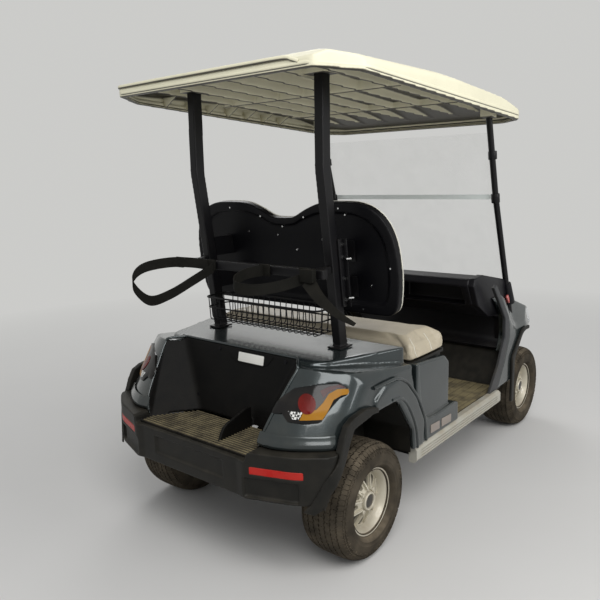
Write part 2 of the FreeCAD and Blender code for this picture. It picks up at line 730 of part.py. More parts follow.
def make_knuckles():
    """Make the steering knuckles, the tie rod and the rack."""
    hub_x, y, z, half, gap = wheelbase, kingpin_y, axle_height, s.arch_height / 2, s.seat_gap
    face = front_tyre_y + s.rim_width / 2
    end_x, end_y = hub_x - s.arm_reach, y - s.arm_inset
    parts = [
        bar("kingpin_housing", "z", (hub_x, y, z - half + 12 + gap), z + half - 12 - gap, 46),
        bar("stub_pin", "y", (hub_x, y, z), face - 26, s.axle_pin_diameter),
        bar("stub_collar", "y", (hub_x, y, z), face - 92 - gap, 52),
        slab("steering_arm", "XY", (
            (hub_x + 12, y), (hub_x - 8, end_y + 12, 14), (end_x, end_y + 12), (end_x, end_y - 12),
            (hub_x - 34, end_y - 12, 20), (hub_x - 12, y),
        ), z - 21, z - 7),
        bar("arm_end", "z", (end_x, end_y, z - 21), z - 7, 32),
    ]
    hole = bar("kingpin_hole", "z", (hub_x, y, z - half), z + half, s.kingpin_diameter + 2 * s.running_gap)
    left = keep(without("knuckle_left", joined("knuckle_solid", parts), hole), "knuckle_left")
    right = flipped(left)
    right.Label = "knuckle_right"
    nodes.append(right)
    rod_z, reach = z + 8, y - s.arm_inset
    rod = [bar("tie_bar", "y", (end_x, -reach, rod_z), reach, 18)]
    rod += [bar("tie_end", "z", (end_x, side * reach, rod_z - 14.5), rod_z + 12, 30) for side in (1, -1)]
    keep(joined("tie_rod", rod), "tie_rod")
    rack = joined("rack_case", [
        bar("rack_tube", "y", (end_x, -120, rod_z), 120, 46),
        block("rack_mount", (end_x - 20, -60, rod_z), (end_x + 20, 60, rail_front - 30))])
    bore = bar("rack_bore", "y", (end_x, -130, rod_z), 130, 18 + 2 * s.running_gap)
    keep(without("steering_rack", rack, bore), "steering_rack")


def tilted(item, length):
    """Lay an object made along Z down the steering column, some way from the wheel."""
    item.Placement = Placement(Vector(), Rotation(Vector(0, 1, 0), 90))
    tie(item, "Placement.Rotation.Angle", 90 + s.column_slope)
    tie(item, "Placement.Base.x", dash_rear_x - s.steering_back + length * cosine(s.column_slope))
    tie(item, "Placement.Base.y", s.steering_y)
    tie(item, "Placement.Base.z", steering_z - length * sine(s.column_slope))
    return item


def round_bar(name, diameter, length):
    """Make a round bar along Z from the origin."""
    item = doc.addObject("Part::Cylinder", name)
    tie(item, "Radius", diameter / 2)
    tie(item, "Height", length)
    return item


def make_steering():
    """Make the column, the wheel and the pedals."""
    reach = (steering_z - s.floor_height - 40) / sine(s.column_slope)
    shroud = doc.addObject("Part::Cone", "column_shroud")
    for side, size in (("Radius1", 44), ("Radius2", 30), ("Height", 180)):
        tie(shroud, side, size)
    parts = [tilted(round_bar("column_tube", Size(48), reach - 62), Size(62)), tilted(shroud, Size(72)),
             tilted(round_bar("column_pin", Size(18), Size(62)), Size(0))]
    toe_z = s.floor_height + s.toe_rise
    below = slab("below_toe_board", "XZ", (
        (toe_x - 4, s.floor_height + s.seat_gap), (toe_x + 121, toe_z + 6 + s.seat_gap),
        (toe_x + 400, toe_z + 6), (toe_x + 400, s.floor_height - 200), (toe_x - 4, s.floor_height - 200),
    ), s.steering_y - 90, s.steering_y + 90)
    keep(without("steering_column", joined("column_solid", parts), below), "steering_column")
    ring = doc.addObject("Part::Torus", "wheel_ring")
    tie(ring, "Radius1", s.steering_diameter / 2 - 13)
    tie(ring, "Radius2", 13)
    hub = bar("wheel_hub", "z", (Size(0), Size(0), Size(-20)), Size(20), Size(92))
    spokes = []
    for number, turn in enumerate((0, 120, 240)):
        spoke = round_bar(f"wheel_spoke_{number + 1}", Size(18), s.steering_diameter / 2 - 14)
        spoke.Placement = Placement(Vector(0, 0, -4), Rotation(Vector(0, 0, 1), turn) * Rotation(Vector(0, 1, 0), 90))
        spokes.append(spoke)
    bore = bar("wheel_bore", "z", (Size(0), Size(0), Size(-30)), Size(30), 18 + 2 * s.running_gap)
    wheel = without("steering_wheel", joined("wheel_solid", [ring, hub] + spokes), bore)
    keep(tilted(wheel, Size(0)), "steering_wheel")
    make_pedals()


def make_pedals():
    """Make the two pedals on their arms from the toe board."""
    floor, foot_x = s.floor_height, toe_x - 52
    foot_z = floor + s.mat_thickness + 4
    lean, rise = 51, 109
    board = 125 / (s.toe_rise + 6)

    def plate_x(height):
        return foot_x + (height - foot_z) * (lean / rise)

    def board_x(height):
        return toe_x - 5 + (height - floor) * board
    low, high = floor + 56, floor + 76
    pedals = []
    for name, y, width in (("brake", 330, 90), ("drive", 200, 70)):
        plate = slab(f"{name}_plate", "XZ", (
            (foot_x, foot_z), (foot_x + 11, foot_z), (foot_x + 11 + lean, foot_z + rise),
            (foot_x + lean, foot_z + rise)), y - width / 2, y + width / 2)
        arm = slab(f"{name}_arm", "XZ", (
            (plate_x(low) + 4, low), (board_x(low), low), (board_x(high), high), (plate_x(high) + 4, high),
        ), Size(y - 9), Size(y + 9))
        pedals.append(joined(f"{name}_pedal", [plate, arm]))
    both_pedals = doc.addObject("Part::Compound", "pedals")
    both_pedals.Links = pedals
    keep(both_pedals, "pedals")


# Floor and side strips


def ribbed_body(name, low, high, half_start, half_end, ribs):
    """Make a mat between two places along X and Y, with a row of ribs on it.

    The ribs are given as (first y, pitch, count, width) and the mat's
    heights as low and high.
    """
    (rear, front), (start, end) = half_start, half_end
    first, pitch, count, width = ribs
    body = doc.addObject("PartDesign::Body", name)
    rib = high - low - 3
    pad_in(body, "XY_Plane", ((rear, start), (front, start), (front, end), (rear, end)), low, high - low - rib, "Base")
    ridge = pad_in(body, "XY_Plane", ((rear + 10, first), (front - 10, first), (front - 10, first + width),
                                      (rear + 10, first + width)), high - rib, rib, "Ridge")
    pattern = body.newObject("PartDesign::LinearPattern", "Ridges")
    pattern.Originals = [ridge]
    pattern.Direction = (ridge.Profile[0], ["V_Axis"])
    tie(pattern, "Length", pitch * (count - 1))
    pattern.Occurrences = count
    body.Tip = pattern
    return body


def make_floor():
    """Make the floor pan, the ribbed mat, the side strips and the battery block."""
    top, thick, rear = s.floor_height, s.floor_thickness, s.deck_front_x + 10
    toe_z, half = top + s.toe_rise, sill_inner_y
    keep(slab("floor_pan", "XZ", (
        (rear, top), (rear, top - thick), (toe_x, top - thick), (toe_x + 130, toe_z),
        (toe_x + 121, toe_z + 6), (toe_x - 4, top),
    ), -half, half), "floor_pan")
    box_front = seat_front_x - 10
    mat = ribbed_body("floor_mat", top, top + s.mat_thickness, (box_front + 8, toe_x - 30), (8 - half, half - 8),
                      (-520, 40, 26, 14))
    keep(mat, "floor_mat")
    outer, low = sill_outer_y, top + 5 - s.sill_height
    strip = slab("sill_strip", "YZ", (
        (half, top + 5), (half, low), (outer - 12, low, 6), (outer, low + 15, 6), (outer, top - 6, 6),
        (outer - 12, top + 5, 4)), s.deck_front_x + 6, dash_rear_x + 165)
    grooves = [block("sill_groove", (s.deck_front_x + 46, outer - 3, top - drop),
                     (dash_rear_x + 125, outer + 3, top - drop + 5)) for drop in (42, 30, 18)]
    both("side_sills", without("sill_grooved", strip, *grooves))
    keep(block("battery_block", (rear + 20, Size(-330), top), (box_front - 22, Size(330), top + 265)),
         "battery_block")


# Rear bodywork


def hull_section(height, tail, inset, end_x):
    """Return the rear hull's outline in plan at a height."""
    corner_y = s.flank_y - s.corner_width - inset * 0.33
    return outline("XY", both_ways((
        (tail + inset, corner_y, 260 - inset), (tail + s.corner_run + inset * 0.5, s.flank_y - inset, 150 - inset),
        (end_x, s.flank_y - inset))), height).OuterWire


def hull_loft(inset, end_x=420):
    """Return the leaning tail of the rear body, its plan in four sections."""
    knee, top = bumper_top + 60, deck_height + 40
    lean = s.tail_lean / (shoulder_rear - knee)
    levels = ((s.floor_height - 20, tail_x), (knee, tail_x), (knee + 80, tail_x + 80 * lean * 0.88),
              (top, tail_x + (top - knee) * lean))
    return Part.makeLoft([hull_section(z, tail, inset, end_x) for z, tail in levels], True, True)


def rear_hull(inset=0):
    """Return the rear body under its shoulder line, set in by a wall."""
    base, slope = skirt, s.shoulder_fall / (s.deck_front_x - tail_x - s.tail_lean)
    rear_x = tail_x - 120
    side = (
        (rear_x, bumper_top), (rear_x, shoulder_front + (s.deck_front_x - rear_x) * slope),
        (s.deck_front_x, shoulder_front, 10), (262, 690, 30), (315, 545, 40), (372, 478, 30),
        (384, base), (190, base), (150, bumper_top),
    )
    flank = s.flank_y
    rear = both_sides(((flank, base - 60), (flank, shoulder_rear - 56, 60), (flank - 70, shoulder_rear + 22, 40)))
    views = meet((("XZ", side, -700, 700), ("YZ", rear, -500, 500)), inset)
    return views.common(hull_loft(inset))


def deck(inset=0):
    """Return the raised deck behind the seat."""
    low = shoulder_front - 68
    plan = both_ways(((-175, 330, 60), (-100, 430, 120), (120, 500, 200), (s.deck_front_x, 552, 30)))
    side = ((-230, low), (-150, deck_height, 70), (s.deck_front_x, deck_height - 8, 24), (s.deck_front_x, low))
    return meet((("XY", plan, low - 20, deck_height + 100), ("XZ", side, -700, 700)), inset)


def lamp_zone():
    """Return the prism that cuts a tail lamp out of the right rear corner.

    It looks at the corner squarely, so it is drawn across the corner and
    turned about the vertical.
    """
    top = arch_top
    zone = prism("XZ", (
        (60, top + 35), (90, top + 72, 30), (144, top + 110, 30), (214, top + 122), (292, top + 127, 30),
        (343, top + 105, 8), (297, top + 93, 20), (260, top + 60, 30), (224, top + 17, 20), (175, top + 14),
        (118, top + 18), (100, top + 41)), -640, -430)
    zone.Placement = Placement(Vector(), Rotation(Vector(0, 0, 1), -50))
    return zone


def arch_opening(start, end, grow=0):
    """Return the prism of the rear wheel opening, grown by a wall."""
    top, base = arch_top, s.floor_height
    return prism("XZ", (
        (-325, base - 60), (-292, base + 50), (-180, top - 4, 60), (140, top, 60),
        (258, base + 95, 40), (272, base - 60),
    ), start, end, -grow)


def well_block(grow):
    """Return the bag well as a solid bucket, grown by its wall."""
    def section(z, rear_y, side_x, side_y, front_x, front_y, radius):
        return outline("XY", both_ways((
            (tail_x - 120, rear_y + grow), (side_x + grow * 0.36, side_y + grow),
            (front_x + grow, front_y + grow * 0.48, radius))), z).OuterWire
    front = -s.well_front_x
    low_y, high_y = arch_inner_y - s.well_floor_inset, arch_inner_y + s.well_margin
    return Part.makeLoft([
        section(well_floor - grow, low_y, tail_x + 1, low_y, front - s.well_slope, low_y - 130, 30),
        section(deck_height + 40, high_y, tail_x + 181, high_y, front, high_y - 44, 40),
    ], True, True)


def post_tool():
    """Return the space of the left rear post and its clearance."""
    half, low, gap = s.post_width / 2, post_foot_z - 20, s.seat_gap
    return prism("XZ", post_corners(low, gap), post_y - half - gap, post_y + half + gap)


def post_corners(low, gap=0):
    """Return the side view of a rear post from a height up to the roof."""
    half, top_x = s.post_depth / 2 * 1.01 + gap, post_bend_x + 6
    top_z = roof_top_at(top_x) - s.roof_wall - 14 + gap
    return ((post_x_at(low) - half, low), (post_x_at(low) + half, low), (post_bend_x + half, post_bend_z, 100),
            (top_x + half, top_z), (top_x - half, top_z), (post_bend_x - half, post_bend_z, 150))


def make_rear_body():
    """Make the painted rear shell, the tail lamps and the wheel housings."""
    wall, half = s.wall, s.flank_y - s.wall
    box_half = box_half_y + 4
    outer = rear_hull().fuse(deck())
    hollow = rear_hull(wall).fuse(deck(wall))
    hollow = hollow.fuse(box((-200, -half, s.floor_height - 5), (360, half, bumper_top + 60)))
    hollow = hollow.fuse(box((200, -box_half, s.floor_height - 45), (430, box_half, seat_base - 16)))
    base = skirt
    flare = prism("XZ", (
        (-19, 600), (-19, 640, 20), (62, 684, 60), (150, 685, 40), (211, 652, 40), (292, 571, 80),
        (362, 446, 60), (345, base), (262, base)), s.flank_y - 1, s.flank_y + s.flare_proud)
    shell = outer.cut(hollow).multiFuse([flare, mirrored(flare)])
    zone, post = lamp_zone(), post_tool()
    lamp = outer.cut(rear_hull(34)).common(zone).cut(mirrored(well_block(s.well_wall + s.seat_gap)))
    for side in (1, -1):
        shell = shell.cut(arch_opening(side * (arch_inner_y - 10), side * 700))
    for tool in (well_block(s.well_wall), zone, mirrored(zone), post, mirrored(post)):
        shell = shell.cut(tool)
    feature("rear_body", largest(shell))
    feature("tail_lamps", pair(largest(lamp)))
    skin = 4
    housing = arch_opening(arch_inner_y - skin, half, skin).cut(arch_opening(arch_inner_y, s.flank_y))
    housing = housing.cut(box((-500, 0, 0), (500, 700, s.floor_height - s.floor_thickness))).cut(shell)
    feature("wheel_housings", pair(largest(housing)))
    make_bag_well(outer)
    return flare


def make_bag_well(outer):
    """Make the liner of the bag well with its divider, and its ribbed mat."""
    floor_half = arch_inner_y - s.well_floor_inset + 20
    trim = outer.fuse(box((tail_x - 52, -floor_half, well_floor - 20), (tail_x + 60, floor_half, bumper_top)))
    bucket = largest(well_block(s.well_wall).cut(well_block(0)).common(trim))
    fin = prism("XZ", (
        (tail_x - 20, well_floor), (tail_x + 10, well_floor + 55, 60), (-222, well_floor + 88, 40),
        (-190, well_floor + 88, 4), (-190, well_floor)), -124, -112)
    feature("bag_well", fused((bucket, fin.common(well_block(0)))))
    lengths = (tail_x - 34, -(s.well_front_x + s.well_slope) - 17)
    heights = (well_floor, well_floor + 4.5)
    halves = [ribbed_body("well_mat_left", *heights, lengths, (Size(-108), Size(172)), (-104, 20, 14, 10)),
              ribbed_body("well_mat_right", *heights, lengths, (Size(-172), Size(-128)), (-168, 20, 2, 10))]
    mat = doc.addObject("Part::Compound", "well_mat")
    mat.Links = halves
    keep(mat, "well_mat")


def bumper_solid(grow=0):
    """Return the rear bumper as a solid, grown by a clearance."""
    back, side = -s.rear_overhang, s.flank_y + s.bumper_proud
    plan = both_ways(((back + 8, 262, 20), (back, 300, 40), (back + 62, 480, 200), (back + 140, side, 60),
                      (-235, side)))
    low, top, raised = bumper_bottom, bumper_top - s.seat_gap, bumper_top + s.bumper_rise
    rear = both_sides(((700, low), (700, raised), (320, raised - 6), (288, top)))
    return meet((("XY", plan, low - 60, raised + 60), ("YZ", rear, -600, 0)), -grow)


def make_rear_bumper(flare):
    """Make the rear bumper, its reflectors and the trims behind the wheels."""
    low, high, wall = bumper_bottom, bumper_top, s.bumper_wall
    outer, hull = bumper_solid(), rear_hull(-s.seat_gap)
    inner = bumper_solid(-wall)
    inner = inner.fuse(box((-262, -s.flank_y, low - 20), (-200, s.flank_y, high - 16)))
    inner = inner.fuse(inner.translated(Vector(0, 0, -wall - 5)))
    body = outer.cut(inner).cut(well_block(s.well_wall)).cut(hull)
    body = body.cut(box((-600, -190, low + 42), (-s.rear_overhang + 16, 190, high - 42)))
    deep, thin, lens_back = (bumper_solid(-depth) for depth in (12, 7, 1))
    pocket = box((-600, 300, low + 10), (-300, 492, low + 82))
    window = box((-600, 322, low + 96), (-300, 505, low + 124))
    for tool in (pocket.cut(deep), window.cut(thin), arch_opening(330, 700, 4)):
        body = body.cut(tool).cut(mirrored(tool))
    feature("rear_bumper", largest(body))
    feature("rear_reflectors", pair(largest(lens_back.cut(thin).common(window))))
    side = prism("XZ", (
        (-20, 603), (-55, 606), (-114, 598), (-176, 589), (-207, 540), (-224, 500), (-292, 395), (-308, 337),
        (-333, 316), (-356, 327), (-339, 354), (-309, 443), (-270, 500), (-254, 536), (-240, 572),
        (-215, 612), (-174, 630), (-100, 640), (-20, 622)), 440, 700)
    proud = s.flank_y + s.trim_proud
    near = s.flank_y + s.seat_gap
    wrap = prism("XY", ((200, near), (200, proud), (-283, proud, 60), (-378, 488), (-420, 440), (-385, 460),
                        (-300, near)), 200, 800)
    behind = arch_opening(arch_inner_y, s.flank_y - s.wall + s.seat_gap, 4 + s.seat_gap)
    band = side.common(wrap).cut(bumper_solid(s.seat_gap)).cut(hull).cut(flare).cut(behind)
    feature("arch_trims", pair(largest(band)))


def make_side_panels():
    """Make the painted panels under the seat, with the step at their foot."""
    base, y, front = skirt, s.flank_y, seat_front_x + 12
    panel = slab("side_panel_outer", "XZ", (
        (s.deck_front_x + 8, Size(690), 8), (front - 73, Size(676), 40), (front - 4, Size(600), 40),
        (front, Size(460), 30), (front + 58, Size(430), 20), (front + 58, base), (Size(390), base),
        (Size(377), Size(481), 30), (Size(320), Size(548), 40)), y - 42, y - 4)
    recess = slab("side_panel_recess", "XZ", (
        (Size(340), Size(640), 30), (front - 78, Size(628), 40), (front - 58, Size(470), 30),
        (Size(400), Size(480), 30)), y - 12, y + 10)
    step = slab("side_panel_step", "XZ", (
        (Size(392), base), (Size(392), Size(440), 10), (front + 22, Size(446), 14), (front + 64, Size(400), 20),
        (front + 64, base)), y - 30, y + 10)
    both("side_panels", joined("side_panel", [without("side_panel_dished", panel, recess), step]))


# Seat


def make_seat():
    """Make the seat box, the lifting board and the cushion."""
    top, rear, front = seat_base - s.seat_board_thickness - s.seat_gap, s.deck_front_x + 14, seat_front_x - 10
    low, wall, half = s.floor_height, s.box_wall, box_half_y
    keep(without("seat_box", block("seat_box_outer", (rear, -half, low), (front, half, top)),
                 block("seat_box_inner", (rear + wall, wall - half, low), (front - wall, half - wall, top))),
         "seat_box")
    board = doc.addObject("PartDesign::Body", "seat_board")
    start, end, side = seat_rear_x + 6, seat_front_x - 10, seat_half_y - 8
    pad_in(board, "XY_Plane", ((start, -side, 20), (end, -side, 20), (end, side, 20), (start, side, 20)),
           seat_base - s.seat_board_thickness, s.seat_board_thickness, "Board")
    keep(board, "seat_board")
    under = seat_base + s.seat_gap
    profile = slab("cushion_profile", "XZ", (
        (seat_rear_x, under), (seat_rear_x, seat_top - 6, 16), (seat_front_x - 30, seat_top, 40),
        (seat_front_x, seat_top - 34, 26), (seat_front_x - 4, under, 10)), -seat_half_y, seat_half_y)
    plan = slab("cushion_plan", "XY", (
        (seat_rear_x - 10, -seat_half_y), (seat_front_x, -seat_half_y, 34), (seat_front_x, seat_half_y, 34),
        (seat_rear_x - 10, seat_half_y)), seat_base - 10, seat_top + 20)
    cushion = doc.addObject("Part::Common", "seat_cushion")
    cushion.Base, cushion.Tool = profile, plan
    keep(cushion, "seat_cushion")


def back_x_at(height):
    """Return the X of the seat back's rear face at a height."""
    return post_bend_x + s.back_reach - (height - back_bottom) * tangent(s.back_lean)


def make_seat_back():
    """Make the twin-hump seat back with its cushion and brackets."""
    half, rise = back_half_y, s.back_rise
    ring = both_sides(((205, rise, 90), (390, rise, 190), (half, rise - 190, 120), (half - 26, 0, 70)))
    face = outline("YZ", [(0, rise - s.back_dip, 160)] + ring)
    lean = Placement(Vector(back_x_at(back_bottom), 0, back_bottom), Rotation(Vector(0, 1, 0), -s.back_lean))
    shell = softened(face.extrude(Vector(s.back_shell, 0, 0)), 14, lambda edge: edge.BoundBox.XMax < 0.1)
    shell = shell.cut(face.makeOffset2D(-42).extrude(Vector(10, 0, 0)))
    pad = face.makeOffset2D(-10).extrude(Vector(s.back_pad, 0, 0))
    pad = softened(pad, 26, lambda edge: edge.BoundBox.XMin > s.back_pad - 0.1)
    shell.Placement = lean
    pad.Placement = lean * Placement(Vector(s.back_shell + s.seat_gap, 0, 0), Rotation())
    feature("seat_back_shell", shell)
    feature("seat_back_pad", pad)
    half, wall, brackets = s.post_width / 2, 6, []
    for name, low in (("lower", back_bottom + 70), ("upper", back_bottom + 215)):
        high = low + 84
        post = [post_x_at(z) + s.post_depth / 2 * 1.01 + s.seat_gap for z in (low, high)]
        back = [back_x_at(z) + 9.5 for z in (low, high)]
        web = slab(f"{name}_bracket_outer", "XZ", ((post[0], low), (back[0], low), (back[1], high), (post[1], high)),
                   post_y - half, post_y + half)
        room = slab(f"{name}_bracket_room", "XZ", (
            (post[0] + wall, low - 1), (back[0] - wall, low - 1), (back[1] - wall, high + 1),
            (post[1] + wall, high + 1)), post_y - half + wall, post_y + half + 10)
        brackets.append(without(f"{name}_bracket", web, room))
    holder = doc.addObject("Part::Compound", "brackets")
    holder.Links = brackets
    both("seat_brackets", holder)


# Posts, roof and windscreen


def roof_rim_at(x):
    """Return the height of the roof's lower rim at a place along it."""
    share = (x + s.roof_rear_x) / (roof_front_x + s.roof_rear_x)
    return roof_rear_z - s.roof_fall * share


def roof_top_at(x):
    """Return the height of the roof's top at a place along the middle."""
    return roof_rim_at(x) + s.roof_rim + s.roof_crown - 20


def roof_views(rise=0, margin=0):
    """Return the side, plan and rear outlines of the roof, or of its raised panel."""
    rear, front, half = margin - s.roof_rear_x, roof_front_x - margin, roof_half - margin
    crown = s.roof_rim + s.roof_crown + rise
    side = (
        (rear, roof_rear_z), (rear, roof_rear_z + s.roof_rim + rise, 16), (rear + 120, roof_rear_z + crown, 300),
        (front - 300, roof_front_z + crown, 600), (front, roof_front_z + s.roof_rim - 12 + rise, 16),
        (front, roof_front_z - 12),
    )
    plan = both_ways(((rear, half - 100, 30), (rear + 155, half, 60), (front - 90, half, 60), (front, half - 110, 60)))
    top = roof_rear_z + crown
    rear_view = both_sides(((half, roof_front_z - 40), (half, top - 44, 30), (half - 210, top, 300)))
    return (("XZ", side, -700, 700), ("XY", plan, roof_front_z - 100, top + 100), ("YZ", rear_view, -400, 1500))


def make_roof():
    """Make the moulded roof with its ribs and the pads over the posts."""
    rear, front, low, high = -s.roof_rear_x, roof_front_x, roof_front_z - 200, roof_rear_z + 200
    plain = meet(roof_views())
    outer = plain.fuse(meet(roof_views(s.roof_step, 70)))
    hollow = meet(roof_views(), s.roof_wall)
    below = prism("XY", roof_views()[1][1], roof_front_z - 100, high, 26)
    lower = prism("XZ", ((rear - 10, low), (rear - 10, roof_rear_z + 12), (front + 10, roof_front_z),
                         (front + 10, low)), -700, 700)
    shell = outer.cut(hollow).cut(below.common(lower))
    start, end = rear + 66, front - 100
    room = prism("XZ", ((start, roof_rim_at(start) + 26), (end, roof_rim_at(end) + 26), (end, high), (start, high)),
                 -700, 700).common(hollow)
    ribs = [box((start, y - 5, low), (end, y + 5, high)).common(room) for y in range(-420, 421, 140)]
    ribs += [box((x - 5, -480, low), (x + 5, 480, high)).common(room) for x in (front * 0.25, front * 0.62)]
    pads = []
    for pad_x, pad_y, size in ((post_bend_x + 6, post_y, 90), (front_post_top()[0], front_post_y, 60)):
        pads += [box((pad_x - size / 2, side * pad_y - size / 2, low),
                     (pad_x + size / 2, side * pad_y + size / 2, high)).common(plain) for side in (1, -1)]
    roof = fused([shell] + ribs + pads)
    for tool in (post_tool(), front_post(s.front_post_diameter + 2 * s.seat_gap)):
        roof = roof.cut(tool).cut(mirrored(tool))
    feature("roof", largest(roof))


def front_post_top():
    """Return the top of a front post in side view."""
    return wheelbase - s.front_post_top, roof_front_z + 33


def front_post(diameter):
    """Return the left front post."""
    foot = (wheelbase - s.front_post_foot, cowl_height - s.front_post_sink)
    bend, top = (wheelbase - s.front_post_bend, screen_joint_z), front_post_top()
    lower = (foot[0] + (foot[0] - bend[0]) * 0.2, foot[1] - (bend[1] - foot[1]) * 0.2)
    upper = (top[0] + (top[0] - bend[0]) * 0.06, top[1] + (top[1] - bend[1]) * 0.06)
    return swept([(x, front_post_y, z) for x, z in (lower, bend, upper)], 120, diameter)


def make_posts():
    """Make the rear posts with their foot flanges, and the front posts."""
    half, x = s.post_width / 2, post_x_at(deck_height)
    post = slab("rear_post", "XZ", post_corners(post_foot_z), post_y - half, post_y + half)
    flange = block("post_flange", (x - 46, post_y - 32, deck_height - 3.5),
                   (x + 42, post_y + 32, deck_height - 3.5 + s.flange_thickness))
    both("rear_posts", joined("rear_post_flanged", [post, flange]))
    feature("front_posts", pair(front_post(s.front_post_diameter)))


def screen_pane(name, foot, head, low, high, chamfer):
    """Make a windscreen pane before the posts, on the line from foot to head.

    The pane runs between two heights and its lower corners are cut off.
    """
    slope = (head[0] - foot[0]) / (head[1] - foot[1])
    offset = (s.front_post_diameter / 2 + s.seat_gap) * 1.08
    low_x, high_x = (foot[0] + (z - foot[1]) * slope + offset for z in (low, high))
    thick = s.screen_thickness * 1.08
    pane = slab(f"{name}_sheet", "XZ", ((low_x, low), (high_x, high), (high_x + thick, high), (low_x + thick, low)),
                -front_post_y, front_post_y)
    shape = slab(f"{name}_outline", "YZ", (
        (chamfer - front_post_y, low - 1), (front_post_y - chamfer, low - 1), (front_post_y, low + chamfer),
        (front_post_y, high + 1), (-front_post_y, high + 1), (-front_post_y, low + chamfer)),
        high_x - 200, low_x + 200)
    item = doc.addObject("Part::Common", name)
    item.Base, item.Tool = pane, shape
    keep(item, name)


def make_windscreen():
    """Make the two panes and the strip at their joint."""
    foot = (wheelbase - s.front_post_foot, cowl_height - s.front_post_sink)
    joint = (wheelbase - s.front_post_bend, screen_joint_z)
    screen_pane("windscreen_lower", foot, joint, cowl_height - s.screen_sink, screen_joint_z - 12, 40)
    screen_pane("windscreen_upper", joint, front_post_top(), screen_joint_z + 12, roof_front_z - s.screen_top_gap, 4)
    x = joint[0] + s.front_post_diameter / 2 * 1.08 + 5
    keep(block("screen_joint", (x, -front_post_y, joint[1] - 12), (x + 12, front_post_y, joint[1] + 12)),
         "screen_joint")


# Front bodywork


def front_views():
    """Return the side, plan and front outlines of the front body."""
    base, half, hub, nose = skirt, cowl_half, wheelbase, nose_x - 4
    side = (
        (hub - 473, base), (hub - 380, base + 130, 60), (hub - 325, base + 250, 60),
        (hub - 340, deck_height - 73, 60), (hub - 435, deck_height + 30, 40), (hub - 520, deck_height + 120, 20),
        (hub - 250, cowl_height, 60), (hub - 130, cowl_height - 72, 160),
        (nose - 110, nose_height + 60, 120), (nose, nose_height - 60, 70), (nose, front_bumper_top),
        (hub + 50, front_bumper_top), (hub - 150, base),
    )
    plan = both_ways(((hub - 550, half), (hub - 50, half, 200), (hub + 180, half - 60, 160), (nose, 250, 160)))
    front = both_sides(((half + 9, base - 10), (half + 9, nose_height), (half - 42, deck_height + 15, 90),
                        (half - 162, cowl_height + 56, 60)))
    return (("XZ", side, -700, 700), ("XY", plan, base - 50, cowl_height + 120), ("YZ", front, 1000, nose_x + 50))


def front_opening(start, end, grow=0):
    """Return the prism of the front wheel opening, grown by a wall."""
    reach, hub, z = axle_height + s.front_arch_gap, wheelbase, axle_height
    return prism("XZ", (
        (hub - reach, s.floor_height - 145), (hub - reach, z + 241.5, 60), (hub - 150, arch_top - 2, 90),
        (hub + 150, arch_top - 2, 90), (hub + reach, z + 241.5, 60), (hub + reach, s.floor_height - 145),
    ), start, end, -grow)


def make_front_body():
    """Make the painted front shell, its liners and trims, and the headlamps."""
    outer, half, wall, hub = meet(front_views()), cowl_half, s.wall, wheelbase
    hollow = meet(front_views(), wall)
    hollow = hollow.fuse(box((hub - 500, wall - half, skirt - 20), (nose_x - 14, half - wall, skirt + 170)))
    shell = outer.cut(hollow)
    opening = front_opening(200, 700)
    cabin = prism("XZ", (
        (hub - 550, 300), (hub - 550, cowl_height + 116), (hub - 260, cowl_height + 116), (hub - 260, 800),
        (hub - 230, 520), (hub - 270, 510), (hub - 400, 300)), 60 - half, half - 60)
    post = front_post(s.front_post_diameter + 2 * s.seat_gap)
    zone = prism("YZ", ((300, nose_height, 20), (340, nose_height - 40, 30), (700, nose_height - 30),
                        (700, nose_height + 80), (470, nose_height + 80, 60)), 1700, nose_x + 50)
    lamp = outer.cut(meet(front_views(), 30)).common(zone)
    for tool in (opening, post, zone):
        shell = shell.cut(tool).cut(mirrored(tool))
    shell = largest(shell.cut(cabin))
    feature("front_body", shell)
    feature("headlamps", pair(largest(lamp)))
    return shell


def make_dash(shell):
    """Make the dash with its open tray and the firewall below it."""
    rear, hub, top, toe_z = dash_rear_x, wheelbase, dash_height, s.floor_height + s.toe_rise
    dash = prism("XZ", (
        (rear, top - 35, 14), (rear + 14, top, 20), (rear + 110, top + 6, 20), (hub - 250, cowl_height + 2),
        (hub - 265, top - 170, 20), (rear + 190, top - 218, 30), (rear + 60, top - 140, 40)), -470, 470)
    wall = prism("XZ", ((toe_x + 122, toe_z + 9), (toe_x + 134, toe_z + 9), (hub - 252, top - 160),
                        (hub - 264, top - 160)), -470, 470)
    pocket = box((rear - 10, -430, top - 140), (rear + 150, -60, top - 40))
    feature("dash", largest(dash.cut(pocket).fuse(wall).removeSplitter().cut(shell)))


